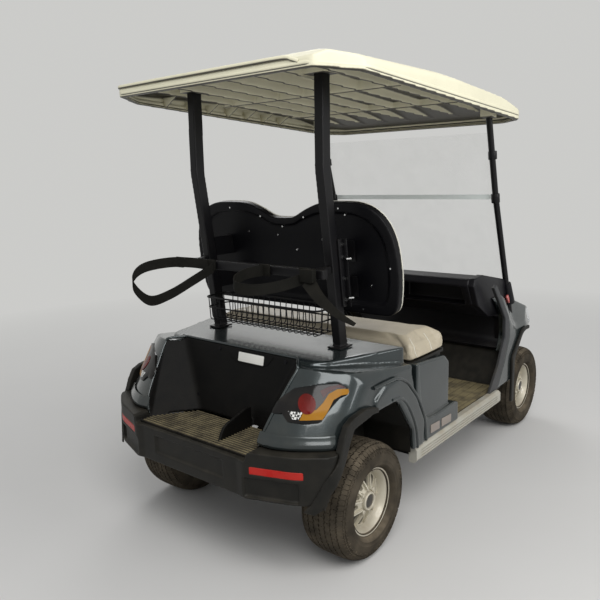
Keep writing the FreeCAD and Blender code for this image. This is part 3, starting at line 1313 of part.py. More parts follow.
def make_front_trims():
    """Make the strips at the leg openings and wheel openings, and the bumper."""
    base, hub, y, deck_z = skirt, wheelbase, s.flank_y, deck_height
    both("leg_trims", slab("leg_trim", "XZ", (
        (hub - 569, base), (hub - 476, base), (hub - 384, base + 130, 40), (hub - 329, base + 250, 40),
        (hub - 344, deck_z - 73, 60), (hub - 439, deck_z + 30, 40), (hub - 524, deck_z + 118),
        (hub - 553, deck_z + 106), (hub - 472, deck_z + 15, 40), (hub - 392, deck_z - 79, 40),
        (hub - 390, base + 250, 40), (hub - 462, base + 120, 40)), y - 27, y - 9))
    reach = axle_height + s.front_arch_gap
    both("front_arch_trims", slab("front_arch_trim", "XZ", (
        (hub - reach - 30, base - 120, 10), (hub - reach + 4, base - 120, 6), (hub - reach + 4, base + 114, 60),
        (hub - 146, arch_top - 8, 90), (hub - 60, arch_top - 8), (hub - 60, arch_top + 12),
        (hub - 158, arch_top + 12, 90), (hub - reach - 30, base + 126, 60)), cowl_half + 0.5, cowl_half + 14))
    plan = both_ways(((nose_x - 80, 420), (nose_x - 44, 400, 60), (nose_x, 260, 60)))
    solid = slab("front_bumper_solid", "XY", plan, front_bumper_top - s.front_bumper_height, front_bumper_top)
    room = block("front_bumper_room", (hub + 50, Size(-600), Size(200)),
                 (nose_x - 22, Size(600), front_bumper_top - 12))
    keep(without("front_bumper", solid, room), "front_bumper")


# Carriers behind the seat


def make_carriers():
    """Make the basket, the strap bar and the bag straps."""
    half, base = post_y - s.post_width / 2 - s.seat_gap, deck_height + 51
    keep(without("basket", block("basket_outer", (Size(-10), -half, base), (Size(150), half, base + 110)),
                 block("basket_inner", (Size(-7), 3 - half, base + 3), (Size(147), half - 3, base + 120))), "basket")
    z = deck_height + 315
    rail = block("strap_rail", (Size(-78), Size(-400), z - 18), (Size(-44), Size(400), z + 18))
    behind = post_x_at(z + 14) - s.post_depth / 2 * 1.01 - s.seat_gap
    arms = [block("strap_arm", (Size(-50), side * post_y - 15, z - 14), (behind, side * post_y + 15, z + 14))
            for side in (1, -1)]
    keep(joined("strap_bar", [rail] + arms), "strap_bar")
    low, high, loops = z - 34, z + 6, []
    for name, near, far in (("left", (80, 385), (345, 450)), ("right", (-345, -65), (-255, -150))):
        rings = []
        for part, edge in (("outer", 0), ("inner", 2.5)):
            rings.append(slab(f"{name}_loop_{part}", "XY", (
                (-78.3 - edge, near[0] + edge, 8), (-320 + edge, far[0] + edge, 40),
                (-320 + edge, far[1] - edge, 40), (-78.3 - edge, near[1] - edge, 8)), low - edge, high + edge))
        loops.append(without(f"{name}_loop", *rings))
    straps = doc.addObject("Part::Compound", "bag_straps")
    straps.Links = loops
    keep(straps, "bag_straps")


make_frame()
make_rear_axle()
make_front_suspension()
make_knuckles()
make_steering()
make_floor()
make_rear_bumper(make_rear_body())
make_side_panels()
make_seat()
make_seat_back()
make_posts()
make_roof()
make_windscreen()
make_dash(make_front_body())
make_front_trims()
make_carriers()
make_wheels()
doc.recompute()

for item in doc.Objects:
    if "Invalid" in item.State or "Error" in item.State:
        raise RuntimeError(f"{item.Label} failed to build: {item.State}")
os.makedirs("parts", exist_ok=True)
for item in nodes:
    if item.Shape.isNull() or not item.Shape.isValid() or not item.Shape.Solids:
        raise RuntimeError(f"{item.Label} has no valid solid")
    item.Shape.exportStep(f"parts/{item.Label}.step")
print(len(nodes), "sub-parts")
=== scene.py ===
import logging
import math
from dataclasses import dataclass
from enum import Enum
from typing import Callable, ClassVar, Sequence

import bpy
from mathutils import Matrix, Vector


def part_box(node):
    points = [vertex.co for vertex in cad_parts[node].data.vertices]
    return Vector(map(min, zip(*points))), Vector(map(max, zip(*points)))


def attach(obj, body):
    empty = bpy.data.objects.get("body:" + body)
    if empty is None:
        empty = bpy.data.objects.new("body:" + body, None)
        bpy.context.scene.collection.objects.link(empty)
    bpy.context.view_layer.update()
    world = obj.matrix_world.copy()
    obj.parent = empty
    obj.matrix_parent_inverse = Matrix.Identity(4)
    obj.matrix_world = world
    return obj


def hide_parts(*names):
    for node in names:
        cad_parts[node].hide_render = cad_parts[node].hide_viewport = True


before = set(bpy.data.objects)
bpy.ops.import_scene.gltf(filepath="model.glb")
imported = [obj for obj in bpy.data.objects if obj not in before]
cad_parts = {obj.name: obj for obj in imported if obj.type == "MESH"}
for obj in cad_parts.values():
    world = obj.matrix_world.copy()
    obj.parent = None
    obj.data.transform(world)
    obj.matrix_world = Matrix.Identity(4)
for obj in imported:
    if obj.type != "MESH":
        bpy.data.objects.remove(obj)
LOG = logging.getLogger("cart")

Corner = Sequence[float]
Piece = bpy.types.Object
Socket = bpy.types.NodeSocket

SIDES = (("left", 1), ("right", -1))
REAR_AXLE = (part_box("rim_rear_left")[0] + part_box("rim_rear_left")[1]) / 2
FRONT_AXLE = (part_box("rim_front_left")[0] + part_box("rim_front_left")[1]) / 2

DOUBLED = 0.00002  # points nearer than this, in metres, become one
SHARP = 0.6  # the least angle, in radians, of an edge that gets rounded
PAD_LIMIT = 84000  # triangles in a sewn pad
DUST_HEIGHTS = (0.75, 0.15)  # metres over the ground between which the low dust grows
DUST_PATCHES = (0.36, 0.72)  # noise between which dust lies in patches
WANDER = (0.35, 0.65)  # noise between which the base colour wanders


class Slot(Enum):
    """The record's material slots that the pieces belong to."""

    PAINT = "body_paint"
    FRAME = "frame_black"
    STEEL = "axle_steel"
    PLASTIC = "black_plastic"
    ROOF = "roof_plastic"
    STRIP = "strip_grey"
    VINYL = "seat_vinyl"
    TYRE = "tyre_rubber"
    RIM = "rim_silver"
    GLASS = "screen_glass"
    LAMP = "lamp_lens"
    RED = "reflector_red"
    MAT = "mat_rubber"
    STRAP = "strap_web"


def at(x: float, y: float, z: float) -> Vector:
    """Return the point given in millimetres from the ground under the rear axle."""
    return Vector((x / 1000 + REAR_AXLE.x, y / 1000, z / 1000))


# Materials


class Graph:
    """A short way to write a material's nodes.

    Attributes:
        material: The material.
        tree: Its nodes and links.
        shader: Its principled shader.
        place: The socket that gives a point's place on the piece.
    """

    def __init__(self, name: str) -> None:
        """Start a material with its principled shader.

        Args:
            name: The material's name.
        """
        self.material = bpy.data.materials.new(name)
        self.material.use_nodes = True
        self.tree = self.material.node_tree
        self.shader = self.tree.nodes["Principled BSDF"]
        self.place = self.add("ShaderNodeTexCoord").outputs["Object"]

    def add(self, kind: str, **settings: str) -> bpy.types.Node:
        """Add a node.

        Args:
            kind: The node's type.
            **settings: The properties to set on it.

        Returns:
            The new node.
        """
        node = self.tree.nodes.new(kind)
        for key, value in settings.items():
            setattr(node, key, value)
        return node

    def link(self, source: Socket, target: Socket) -> None:
        """Join two sockets."""
        self.tree.links.new(source, target)

    def noise(self, scale: float, detail: float = 4.0) -> Socket:
        """Lay noise over the piece.

        Args:
            scale: How fine the noise is.
            detail: How many finer layers it has.

        Returns:
            The noise, from 0 to 1.
        """
        node = self.add("ShaderNodeTexNoise")
        node.inputs["Scale"].default_value = scale
        node.inputs["Detail"].default_value = detail
        self.link(self.place, node.inputs["Vector"])
        return node.outputs["Fac"]

    def spread(self, source: Socket, low: float, high: float, start: float = 0.0, end: float = 1.0) -> Socket:
        """Map a range of values to another, held at its ends.

        Args:
            source: The values.
            low: The value that becomes start.
            high: The value that becomes end.
            start: The new range's start.
            end: The new range's end.

        Returns:
            The new values.
        """
        node = self.add("ShaderNodeMapRange")
        for key, value in (("From Min", low), ("From Max", high), ("To Min", start), ("To Max", end)):
            node.inputs[key].default_value = value
        self.link(source, node.inputs["Value"])
        return node.outputs["Result"]

    def maths(self, how: str, first: Socket | float, second: Socket | float) -> Socket:
        """Join two values.

        Args:
            how: The operation, as Blender names it.
            first: The first value.
            second: The second value.

        Returns:
            The result.
        """
        node = self.add("ShaderNodeMath", operation=how)
        for socket, value in zip(node.inputs, (first, second)):
            if isinstance(value, Socket):
                self.link(value, socket)
            else:
                socket.default_value = value
        return node.outputs["Value"]

    def mixed(self, share: Socket, first: Socket | Corner, second: Socket | Corner) -> Socket:
        """Mix two colours.

        Args:
            share: The share of the second colour.
            first: The first colour, as numbers or a socket.
            second: The second colour.

        Returns:
            The mixed colour.
        """
        node = self.add("ShaderNodeMix", data_type="RGBA")
        self.link(share, node.inputs["Factor"])
        for socket, value in ((node.inputs[6], first), (node.inputs[7], second)):
            if isinstance(value, Socket):
                self.link(value, socket)
            else:
                socket.default_value = (*value, 1)
        return node.outputs[2]

    def upward(self, source: Socket) -> Socket:
        """Take the upward share of a vector.

        Args:
            source: The vector.

        Returns:
            Its Z value.
        """
        node = self.add("ShaderNodeSeparateXYZ")
        self.link(source, node.inputs["Vector"])
        return node.outputs["Z"]

    def facing(self) -> Socket:
        """Return how far the surface faces up, from -1 to 1."""
        return self.upward(self.add("ShaderNodeNewGeometry").outputs["Normal"])

    def bump(self, height: Socket, distance: float) -> None:
        """Raise the surface by a pattern.

        Args:
            height: The pattern, from 0 to 1.
            distance: Its depth in metres.
        """
        node = self.add("ShaderNodeBump")
        node.inputs["Distance"].default_value = distance
        self.link(height, node.inputs["Height"])
        self.link(node.outputs["Normal"], self.shader.inputs["Normal"])


@dataclass(frozen=True)
class Finish:
    """A surface: its colour and gloss, a fine grain, and dust that lies low and on top.

    Attributes:
        name: The material's name.
        color: The clean base colour.
        roughness: The clean surface's roughness.
        metallic: The share of metal.
        coat: The weight of a clear coat.
        grain: The depth of the fine grain in metres.
        grain_scale: How fine the grain is.
        dust: The share of dust on the whole.
        low_dust: The share of dust added towards the ground.
        dust_color: The colour of the dust.
        shade: How far the base colour wanders, as a share.
        shine: The specular level.
    """

    name: str
    color: tuple[float, float, float]
    roughness: float = 0.5
    metallic: float = 0.0
    coat: float = 0.0
    grain: float = 0.0
    grain_scale: float = 900.0
    dust: float = 0.1
    low_dust: float = 0.25
    dust_color: tuple[float, float, float] = (0.27, 0.23, 0.17)
    shade: float = 0.12
    shine: float = 0.5

    def graph(self) -> Graph:
        """Write the finish's nodes.

        Returns:
            The nodes.
        """
        graph = Graph(self.name)
        shader = graph.shader
        shader.inputs["Specular IOR Level"].default_value = self.shine
        shader.inputs["Metallic"].default_value = self.metallic
        shader.inputs["Coat Weight"].default_value = self.coat
        shader.inputs["Coat Roughness"].default_value = 0.08
        darker = tuple(value * (1 - self.shade) for value in self.color)
        base = graph.mixed(graph.spread(graph.noise(7.0), *WANDER), darker, self.color)
        near_ground = graph.spread(graph.upward(graph.place), *DUST_HEIGHTS, 0.0, self.low_dust)
        share = graph.maths("ADD", near_ground, self.dust)
        on_top = graph.spread(graph.facing(), 0.2, 1.0)
        lying = graph.maths("MULTIPLY", graph.maths("ADD", on_top, 0.45), share)
        patch = graph.spread(graph.noise(16.0, 8.0), *DUST_PATCHES)
        share = graph.maths("MULTIPLY", graph.maths("ADD", patch, 0.35), lying)
        graph.link(graph.mixed(share, base, self.dust_color), shader.inputs["Base Color"])
        rough = graph.maths("ADD", graph.maths("MULTIPLY", share, 0.6), self.roughness)
        graph.link(graph.maths("MINIMUM", rough, 0.95), shader.inputs["Roughness"])
        if self.grain:
            graph.bump(graph.noise(self.grain_scale, 2.0), self.grain)
        return graph

    def material(self) -> bpy.types.Material:
        """Return the finished material, made once."""
        return bpy.data.materials.get(self.name) or self.graph().material


@dataclass(frozen=True)
class Weave(Finish):
    """Woven webbing: rows of threads across the strap.

    Attributes:
        threads: How fine the weave is.
        depth: The depth of its threads in metres.
    """

    threads: float = 900.0
    depth: float = 0.0003

    def graph(self) -> Graph:
        """Write the finish's nodes with the weave raised.

        Returns:
            The nodes.
        """
        graph = super().graph()
        wave = graph.add("ShaderNodeTexWave", bands_direction="DIAGONAL")
        wave.inputs["Scale"].default_value = self.threads
        graph.link(graph.place, wave.inputs["Vector"])
        graph.bump(wave.outputs["Fac"], self.depth)
        return graph


@dataclass(frozen=True)
class Clear:
    """See-through sheet or lens.

    Attributes:
        name: The material's name.
        color: The sheet's colour.
        share: How much of it shows.
        roughness: The sheet's roughness.
        haze: How much more shows where it is hazy.
    """

    name: str
    color: tuple[float, float, float]
    share: float = 0.12
    roughness: float = 0.04
    haze: float = 0.06

    def material(self) -> bpy.types.Material:
        """Write the see-through material with its haze.

        Returns:
            The material.
        """
        graph = Graph(self.name)
        shader = graph.shader
        haze = graph.spread(graph.noise(9.0, 6.0), 0.4, 0.75, self.share, self.share + self.haze)
        graph.link(haze, shader.inputs["Alpha"])
        shader.inputs["Base Color"].default_value = (*self.color, 1)
        shader.inputs["Roughness"].default_value = self.roughness
        shader.inputs["Specular IOR Level"].default_value = 0.6
        return graph.material


PAINT = Finish("paint", (0.026, 0.036, 0.038), 0.24, 0.5, 0.7, dust=0.02, low_dust=0.12, shade=0.25,
               shine=0.3)
BLACK_PAINT = Finish("black_paint", (0.004, 0.004, 0.005), 0.36, dust=0.015, grain=0.00005, low_dust=0.1,
                     shine=0.22)
BUMPER = Finish("bumper_plastic", (0.007, 0.007, 0.006), 0.46, grain=0.00025, dust=0.02, low_dust=0.07,
                shine=0.2)
SHELL = Finish("shell_plastic", (0.002, 0.002, 0.003), 0.40, grain=0.00018, dust=0.005, low_dust=0.0,
               shine=0.14)
LINER = Finish("liner_plastic", (0.002, 0.002, 0.002), 0.55, grain=0.0005, grain_scale=260.0, dust=0.01,
               low_dust=0.03, shine=0.12)
DASH = Finish("dash_plastic", (0.004, 0.004, 0.006), 0.40, grain=0.00025, dust=0.01, low_dust=0.05, shine=0.2)
TRIM_DARK = Finish("trim_plastic", (0.022, 0.024, 0.027), 0.42, grain=0.0002, dust=0.03, low_dust=0.1,
                   shine=0.35)
STRIP = Finish("strip_plastic", (0.40, 0.39, 0.34), 0.6, dust=0.35, dust_color=(0.30, 0.26, 0.19),
               grain=0.0002)
VINYL = Finish("grained_vinyl", (0.43, 0.375, 0.275), 0.42, grain=0.0003, grain_scale=700.0, dust=0.10,
               dust_color=(0.24, 0.21, 0.16))
PIPING = Finish("piping", (0.62, 0.60, 0.52), 0.5, dust=0.05)
RUBBER = Finish("dusty_tyre", (0.036, 0.031, 0.024), 0.85, grain=0.0006, grain_scale=260.0, dust=0.5,
                low_dust=0.3, dust_color=(0.135, 0.110, 0.078), shade=0.65, shine=0.1)
RIM_PAINT = Finish("rim_paint", (0.60, 0.56, 0.45), 0.36, 0.3, 0.4, dust=0.16, low_dust=0.2,
                   dust_color=(0.27, 0.22, 0.16))
CAP = Finish("cap_plastic", (0.008, 0.008, 0.008), 0.3, dust=0.05)
MAT = Finish("dusty_mat", (0.05, 0.042, 0.032), 0.8, grain=0.0004, grain_scale=300.0, dust=0.62, low_dust=0.2,
             dust_color=(0.20, 0.165, 0.09), shine=0.2)
GROOVE = Finish("mat_groove", (0.012, 0.011, 0.009), 0.9, dust=0.12, shine=0.1, grain=0.0003)
STEEL = Finish("dusty_steel", (0.05, 0.045, 0.04), 0.6, 0.5, grain=0.0003, dust=0.35)
CASE = Finish("dusty_case", (0.04, 0.04, 0.045), 0.6, grain=0.0002, dust=0.2)
RED = Finish("red_reflector", (0.46, 0.009, 0.007), 0.25, dust=0.03, shine=0.15, grain=0.0006,
             grain_scale=180.0)
LENS_RED = Finish("red_lens", (0.15, 0.006, 0.005), 0.16, dust=0.01, grain=0.0005, grain_scale=320.0,
                  shade=0.6, shine=0.12)
DARK_RED = Finish("dark_red_lens", (0.045, 0.004, 0.004), 0.2, dust=0.01, shine=0.25)
PINK = Finish("marker_lens", (0.50, 0.11, 0.10), 0.15, coat=1.0, dust=0.02)
AMBER = Finish("amber_lens", (0.34, 0.15, 0.010), 0.3, dust=0.02, grain=0.0004, grain_scale=240.0, shine=0.15)
LAMP_DARK = Finish("lamp_dark", (0.003, 0.003, 0.004), 0.10, coat=0.02, dust=0.01, shade=0.0, shine=0.25)
CHROME = Finish("chrome", (0.70, 0.70, 0.70), 0.15, 1.0, dust=0.05)
BLANK = Finish("blank_plate", (0.72, 0.71, 0.66), 0.4, dust=0.08)
REFLECTOR = Finish("pale_reflector", (0.26, 0.225, 0.20), 0.4, dust=0.1, shine=0.3, grain=0.0004,
                   grain_scale=200.0)
WEB = Weave("strap_webbing", (0.005, 0.005, 0.004), 0.7, dust=0.03, shine=0.12)
SCREEN = Clear("screen_sheet", (0.80, 0.84, 0.84), 0.05, haze=0.03)
MILKY = Clear("joint_strip", (0.72, 0.78, 0.76), 0.55, 0.3)
LAMP_CLEAR = Clear("lamp_clear", (0.75, 0.78, 0.80), 0.25, 0.05)


@dataclass(frozen=True)
class ShadedUnderside(Finish):
    """A moulding with painted shade on its underside: a darker colour mixed in where it faces down.

    Attributes:
        under: The colour of the painted shade on the underside, where it faces down.
    """

    under: tuple[float, float, float] = (0.070, 0.065, 0.052)

    def graph(self) -> Graph:
        """Write the finish's nodes with the painted underside shade mixed in.

        Returns:
            The nodes.
        """
        graph = super().graph()
        target = graph.shader.inputs["Base Color"]
        base = target.links[0].from_socket
        # painted shade: down-facing surfaces turn towards the darker underside colour
        graph.link(graph.mixed(graph.spread(graph.facing(), -0.25, -0.6), base, self.under), target)
        return graph


@dataclass(frozen=True)
class Checker(Finish):
    """A small reflector with a pattern of squares.

    Attributes:
        size: How fine the squares are.
        dark: The colour of one half of the squares.
        pale: The colour of the other half.
    """

    size: float = 90.0
    dark: tuple[float, float, float] = (0.02, 0.02, 0.02)
    pale: tuple[float, float, float] = (0.75, 0.75, 0.72)

    def graph(self) -> Graph:
        """Write the finish's nodes with the squares as its colour.

        Returns:
            The nodes.
        """
        graph = super().graph()
        squares = graph.add("ShaderNodeTexChecker")
        squares.inputs["Scale"].default_value = self.size
        graph.link(graph.place, squares.inputs["Vector"])
        graph.link(graph.mixed(squares.outputs["Fac"], self.dark, self.pale),
                   graph.shader.inputs["Base Color"])
        return graph


# The roof's underside gets painted shade, darker where it faces down.
ROOF = ShadedUnderside("roof_moulding", (0.78, 0.745, 0.56), 0.48, grain=0.0002, grain_scale=500.0, dust=0.08,
                low_dust=0.0, dust_color=(0.46, 0.42, 0.30), shade=0.06)
CHECKER = Checker("checker_reflector", (0.7, 0.7, 0.7), 0.2, coat=0.6, size=125.0)


# Modelling with Blender's own operators


def alone(*items: Piece) -> Piece:
    """Select these pieces only.

    Args:
        *items: The pieces, the active one first.

    Returns:
        The active piece.
    """
    bpy.ops.object.select_all(action="DESELECT")
    for item in items:
        item.select_set(True)
    bpy.context.view_layer.objects.active = items[0]
    return items[0]


def edit(item: Piece, *steps: Callable[[], object]) -> Piece:
    """Run edit-mode steps on the whole of a piece's mesh.

    Args:
        item: The piece.
        *steps: The operators to run in order.

    Returns:
        The piece.
    """
    alone(item)
    bpy.ops.object.mode_set(mode="EDIT")
    bpy.ops.mesh.select_all(action="SELECT")
    for step in steps:
        step()
    bpy.ops.object.mode_set(mode="OBJECT")
    return item


def outwards() -> None:
    """Turn the faces of the mesh in edit mode outwards."""
    bpy.ops.mesh.select_all(action="SELECT")
    bpy.ops.mesh.normals_make_consistent(inside=False)


def merged(item: Piece, distance: float = DOUBLED) -> Piece:
    """Merge doubled points and turn the faces outwards."""
    return edit(item, lambda: bpy.ops.mesh.remove_doubles(threshold=distance), outwards)


def extruded(item: Piece, run: Corner) -> Piece:
    """Pull an outline's face into a closed solid by a run."""
    return edit(item, lambda: bpy.ops.mesh.extrude_region_move(TRANSFORM_OT_translate={"value": run}),
                outwards)


def applied(item: Piece, kind: str, **settings: object) -> Piece:
    """Add a modifier and apply it.

    Args:
        item: The piece.
        kind: The modifier's type.
        **settings: The properties to set on it.

    Returns:
        The piece.
    """
    alone(item)
    modifier = item.modifiers.new(kind.lower(), kind)
    for key, value in settings.items():
        setattr(modifier, key, value)
    bpy.ops.object.modifier_apply(modifier=modifier.name)
    return item


def bevelled(item: Piece, width: float, segments: int = 2, angle: float = SHARP) -> Piece:
    """Round the edges of a piece that are sharper than an angle in radians."""
    return applied(item, "BEVEL", width=width, segments=segments, limit_method="ANGLE", angle_limit=angle)


def named(item: Piece, name: str) -> Piece:
    """Give a piece and its mesh a name."""
    item.name = item.data.name = name
    return item


def settled(item: Piece, name: str) -> Piece:
    """Apply a piece's place to its mesh and name it.

    Args:
        item: The piece.
        name: Its name.

    Returns:
        The piece.
    """
    alone(item)
    bpy.ops.object.transform_apply(location=True, rotation=True, scale=True)
    return named(item, name)


def block(name: str, low: Vector, high: Vector, bevel: float = 0.0, segments: int = 2) -> Piece:
    """Make a box with rounded edges.

    Args:
        name: The box's name.
        low: Its low corner.
        high: Its high corner.
        bevel: The width of the rounding in metres.
        segments: The number of faces across the rounding.

    Returns:
        The box.
    """
    bpy.ops.mesh.primitive_cube_add(size=1, location=(low + high) / 2)
    item = bpy.context.object
    item.scale = high - low
    settled(item, name)
    if bevel:
        edit(item, lambda: bpy.ops.mesh.bevel(offset=bevel, segments=segments, affect="EDGES"))
    return item


def bar(name: str, start: Vector, end: Vector, radius: float, vertices: int = 24, tip: float | None = None,
        bevel: float = 0.0) -> Piece:
    """Make a round bar or a cone between two points.

    Args:
        name: The bar's name.
        start: The middle of its first end.
        end: The middle of its second end.
        radius: Its radius in metres.
        vertices: The number of its sides.
        tip: The radius at its second end, if that differs.
        bevel: The width of the rounding at its ends.

    Returns:
        The bar.
    """
    run = end - start
    bpy.ops.mesh.primitive_cone_add(
        vertices=vertices, radius1=radius, radius2=radius if tip is None else tip, depth=run.length,
        location=(start + end) / 2, rotation=run.to_track_quat("Z", "Y").to_euler())
    item = settled(bpy.context.object, name)
    return bevelled(item, bevel, angle=0.7) if bevel else item


def ring(name: str, points: Sequence[Vector], filled: bool = True) -> Piece:
    """Add a circle and move its points onto a closed outline.

    Args:
        name: The new piece's name.
        points: The outline's points in order.
        filled: Whether the outline is one face.

    Returns:
        The outline.
    """
    bpy.ops.mesh.primitive_circle_add(vertices=len(points), fill_type="NGON" if filled else "NOTHING")
    item = bpy.context.object
    for vertex, point in zip(item.data.vertices, points):
        vertex.co = point
    return named(item, name)


def turned(name: str, profile: Sequence[Corner], steps: int = 64) -> Piece:
    """Spin a closed profile about the Y axis at the origin.

    Args:
        name: The new piece's name.
        profile: The profile as (radius, y) corners in millimetres.
        steps: The number of faces round the axis.

    Returns:
        The turned piece.
    """
    item = ring(name, [Vector((radius, y, 0)) / 1000 for radius, y in profile], filled=False)
    edit(item, lambda: bpy.ops.mesh.spin(steps=steps, angle=math.tau, center=(0, 0, 0), axis=(0, 1, 0)))
    return merged(item)


def rounded(corners: Sequence[Corner], steps: int = 5) -> list[tuple[float, float]]:
    """Round the corners of an outline that have a radius.

    Args:
        corners: The corners as (across, up) or (across, up, radius).
        steps: The number of edges along each rounded corner.

    Returns:
        The outline's points.
    """
    points, count = [], len(corners)
    for i, corner in enumerate(corners):
        here = Vector(corner[:2])
        if len(corner) < 3:
            points.append(tuple(here))
            continue
        back = (Vector(corners[i - 1][:2]) - here).normalized()
        on = (Vector(corners[(i + 1) % count][:2]) - here).normalized()
        half = back.angle(on) / 2
        centre = here + (back + on).normalized() * (corner[2] / math.sin(half))
        start = here + back * (corner[2] / math.tan(half)) - centre
        turn = start.angle_signed(here + on * (corner[2] / math.tan(half)) - centre)
        points += [tuple(centre + Matrix.Rotation(-turn * k / steps, 2) @ start) for k in range(steps + 1)]
    return points


TO_SPACE = {
    "XZ": lambda a, b, c: at(a, c, b),
    "XY": lambda a, b, c: at(a, b, c),
    "YZ": lambda a, b, c: at(c, a, b),
}


def plate(name: str, plane: str, corners: Sequence[Corner], start: float, end: float, bevel: float = 0.0,
          segments: int = 2) -> Piece:
    """Extrude an outline, in millimetres, across its plane.

    Args:
        name: The plate's name.
        plane: The plane of the outline.
        corners: The outline's corners, as rounded() takes them.
        start: The depth of its first face.
        end: The depth of its second face.
        bevel: The width of the rounding of its edges, in metres.
        segments: The number of faces across the rounding.

    Returns:
        The plate.
    """
    place = TO_SPACE[plane]
    item = ring(name, [place(a, b, start) for a, b in rounded(corners)])
    extruded(item, place(0, 0, end) - place(0, 0, start))
    return bevelled(item, bevel, segments) if bevel else item


def wires(name: str, paths: Sequence[Sequence[Vector]], radius: float, closed: bool = False,
          sides: int = 2) -> Piece:
    """Make round wires along paths, as one mesh.

    Args:
        name: The new piece's name.
        paths: The wires' middle lines.
        radius: Their radius in metres.
        closed: Whether each line is a loop.
        sides: How round they are, as a curve's bevel resolution.

    Returns:
        The wires.
    """
    curve = bpy.data.curves.new(name, "CURVE")
    curve.dimensions = "3D"
    curve.bevel_depth = radius
    curve.bevel_resolution = sides
    curve.use_fill_caps = not closed
    for path in paths:
        spline = curve.splines.new("POLY")
        spline.points.add(len(path) - 1)
        for point, place in zip(spline.points, path):
            point.co = (*place, 1)
        spline.use_cyclic_u = closed
    item = bpy.data.objects.new(name, curve)
    bpy.context.scene.collection.objects.link(item)
    alone(item)
    bpy.ops.object.convert(target="MESH")
    return merged(named(bpy.context.object, name))


def ribbon(name: str, path: Sequence[Vector], across: Vector, width: float, thickness: float,
           tip: float = 1.0) -> Piece:
    """Make a flat strap along a path.

    Args:
        name: The object's name.
        path: The middle line.
        across: The direction of the strap's width.
        width: The width at the start.
        thickness: The strap's thickness.
        tip: The share of the width that is left at the end.

    Returns:
        The strap.
    """
    bpy.ops.mesh.primitive_grid_add(x_subdivisions=1, y_subdivisions=len(path) - 1, size=1)
    item = bpy.context.object
    for i, vertex in enumerate(item.data.vertices):
        half = across.normalized() * width / 2 * (1 + (tip - 1) * (i // 2) / (len(path) - 1))
        vertex.co = path[i // 2] + half * (1 if i % 2 else -1)
    return applied(named(item, name), "SOLIDIFY", thickness=thickness, offset=0)


def ramp(value: float, low: float, high: float) -> float:
    """Return a share that grows smoothly from 0 at a low value to 1 at a high one."""
    share = min(max((value - low) / (high - low), 0.0), 1.0)
    return share * share * (3 - 2 * share)


def curved(points: Sequence[Vector], steps: int = 8) -> list[Vector]:
    """Draw a smooth line through points.

    Args:
        points: The points that the line passes.
        steps: The number of its edges between two points.

    Returns:
        The line's points.
    """
    ends = [points[0] * 2 - points[1], *points, points[-1] * 2 - points[-2]]
    line = []
    for a, b, c, d in zip(ends, ends[1:], ends[2:], ends[3:]):
        for k in range(steps):
            t = k / steps
            line.append(0.5 * (2 * b + (c - a) * t + (2 * a - 5 * b + 4 * c - d) * t ** 2
                               + (3 * b - a - 3 * c + d) * t ** 3))
    return line + [points[-1]]


def joined(name: str, items: Sequence[Piece]) -> Piece:
    """Join pieces into one mesh.

    Args:
        name: The joined piece's name.
        items: The pieces.

    Returns:
        The joined piece.
    """
    alone(*items)
    if len(items) > 1:
        bpy.ops.object.join()
    return named(bpy.context.object, name)


def carved(item: Piece, tool: Piece, how: str = "DIFFERENCE") -> Piece:
    """Cut a tool out of a piece, or keep what they share.

    Args:
        item: The piece.
        tool: The tool, which is used up.
        how: The boolean operation.

    Returns:
        The piece.
    """
    applied(item, "BOOLEAN", object=tool, operation=how, solver="EXACT")
    bpy.data.objects.remove(tool)
    return item


def clone(node: str, name: str) -> Piece:
    """Copy a CAD node's mesh and merge its doubled points.

    Args:
        node: The CAD node.
        name: The new piece's name.

    Returns:
        The new piece.
    """
    item = bpy.data.objects.new(name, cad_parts[node].data.copy())
    item.data.name = name
    item.data.materials.clear()
    bpy.context.scene.collection.objects.link(item)
    return edit(item, lambda: bpy.ops.mesh.remove_doubles(threshold=DOUBLED))


def softened(item: Piece, voxel: float, times: int, limit: int) -> Piece:
    """Round a piece's edges as a moulding's are.

    Args:
        item: The piece.
        voxel: The grid that its shell is remade on, in metres.
        times: How often its surface is evened out.
        limit: The most triangles to keep.

    Returns:
        The piece.
    """
    applied(item, "REMESH", mode="VOXEL", voxel_size=voxel * 1.0, adaptivity=0.0)
    applied(item, "SMOOTH", factor=0.5, iterations=times)
    return thinned(item, limit)


def thinned(item: Piece, limit: int) -> Piece:
    """Bring a piece made of squares down to a number of triangles."""
    share = limit / (2 * len(item.data.polygons))
    return applied(item, "DECIMATE", ratio=share) if share < 1 else item


def eased(item: Piece, low: Corner, high: Corner, times: int, fade: float = 30.0) -> Piece:
    """Even out the part of a surface that lies in a box on each side of the cart.

    Args:
        item: The piece.
        low: The box's low corner in millimetres, on the left side.
        high: The box's high corner.
        times: How often the surface is evened out.
        fade: How far in from the box's sides the effect grows to its whole, in millimetres.

    Returns:
        The piece.
    """
    low, high = at(*low), at(*high)
    group = item.vertex_groups.new(name="eased")
    for vertex in item.data.vertices:
        place = (vertex.co.x, abs(vertex.co.y), vertex.co.z)
        share = min(min(p - a, b - p) * 1000 / fade for p, a, b in zip(place, low, high))
        if share > 0:
            group.add([vertex.index], min(share, 1.0), "REPLACE")
    applied(item, "SMOOTH", factor=0.5, iterations=times, vertex_group="eased")
    item.vertex_groups.clear()
    return item


def mirror_of(item: Piece, name: str) -> Piece:
    """Copy a piece to the other side of the cart.

    Args:
        item: The piece.
        name: The copy's name.

    Returns:
        The copy.
    """
    twin = item.copy()
    twin.data = item.data.copy()
    bpy.context.scene.collection.objects.link(twin)
    twin.data.transform(Matrix.Diagonal((1, -1, 1, 1)))
    twin.data.flip_normals()
    return named(twin, name)


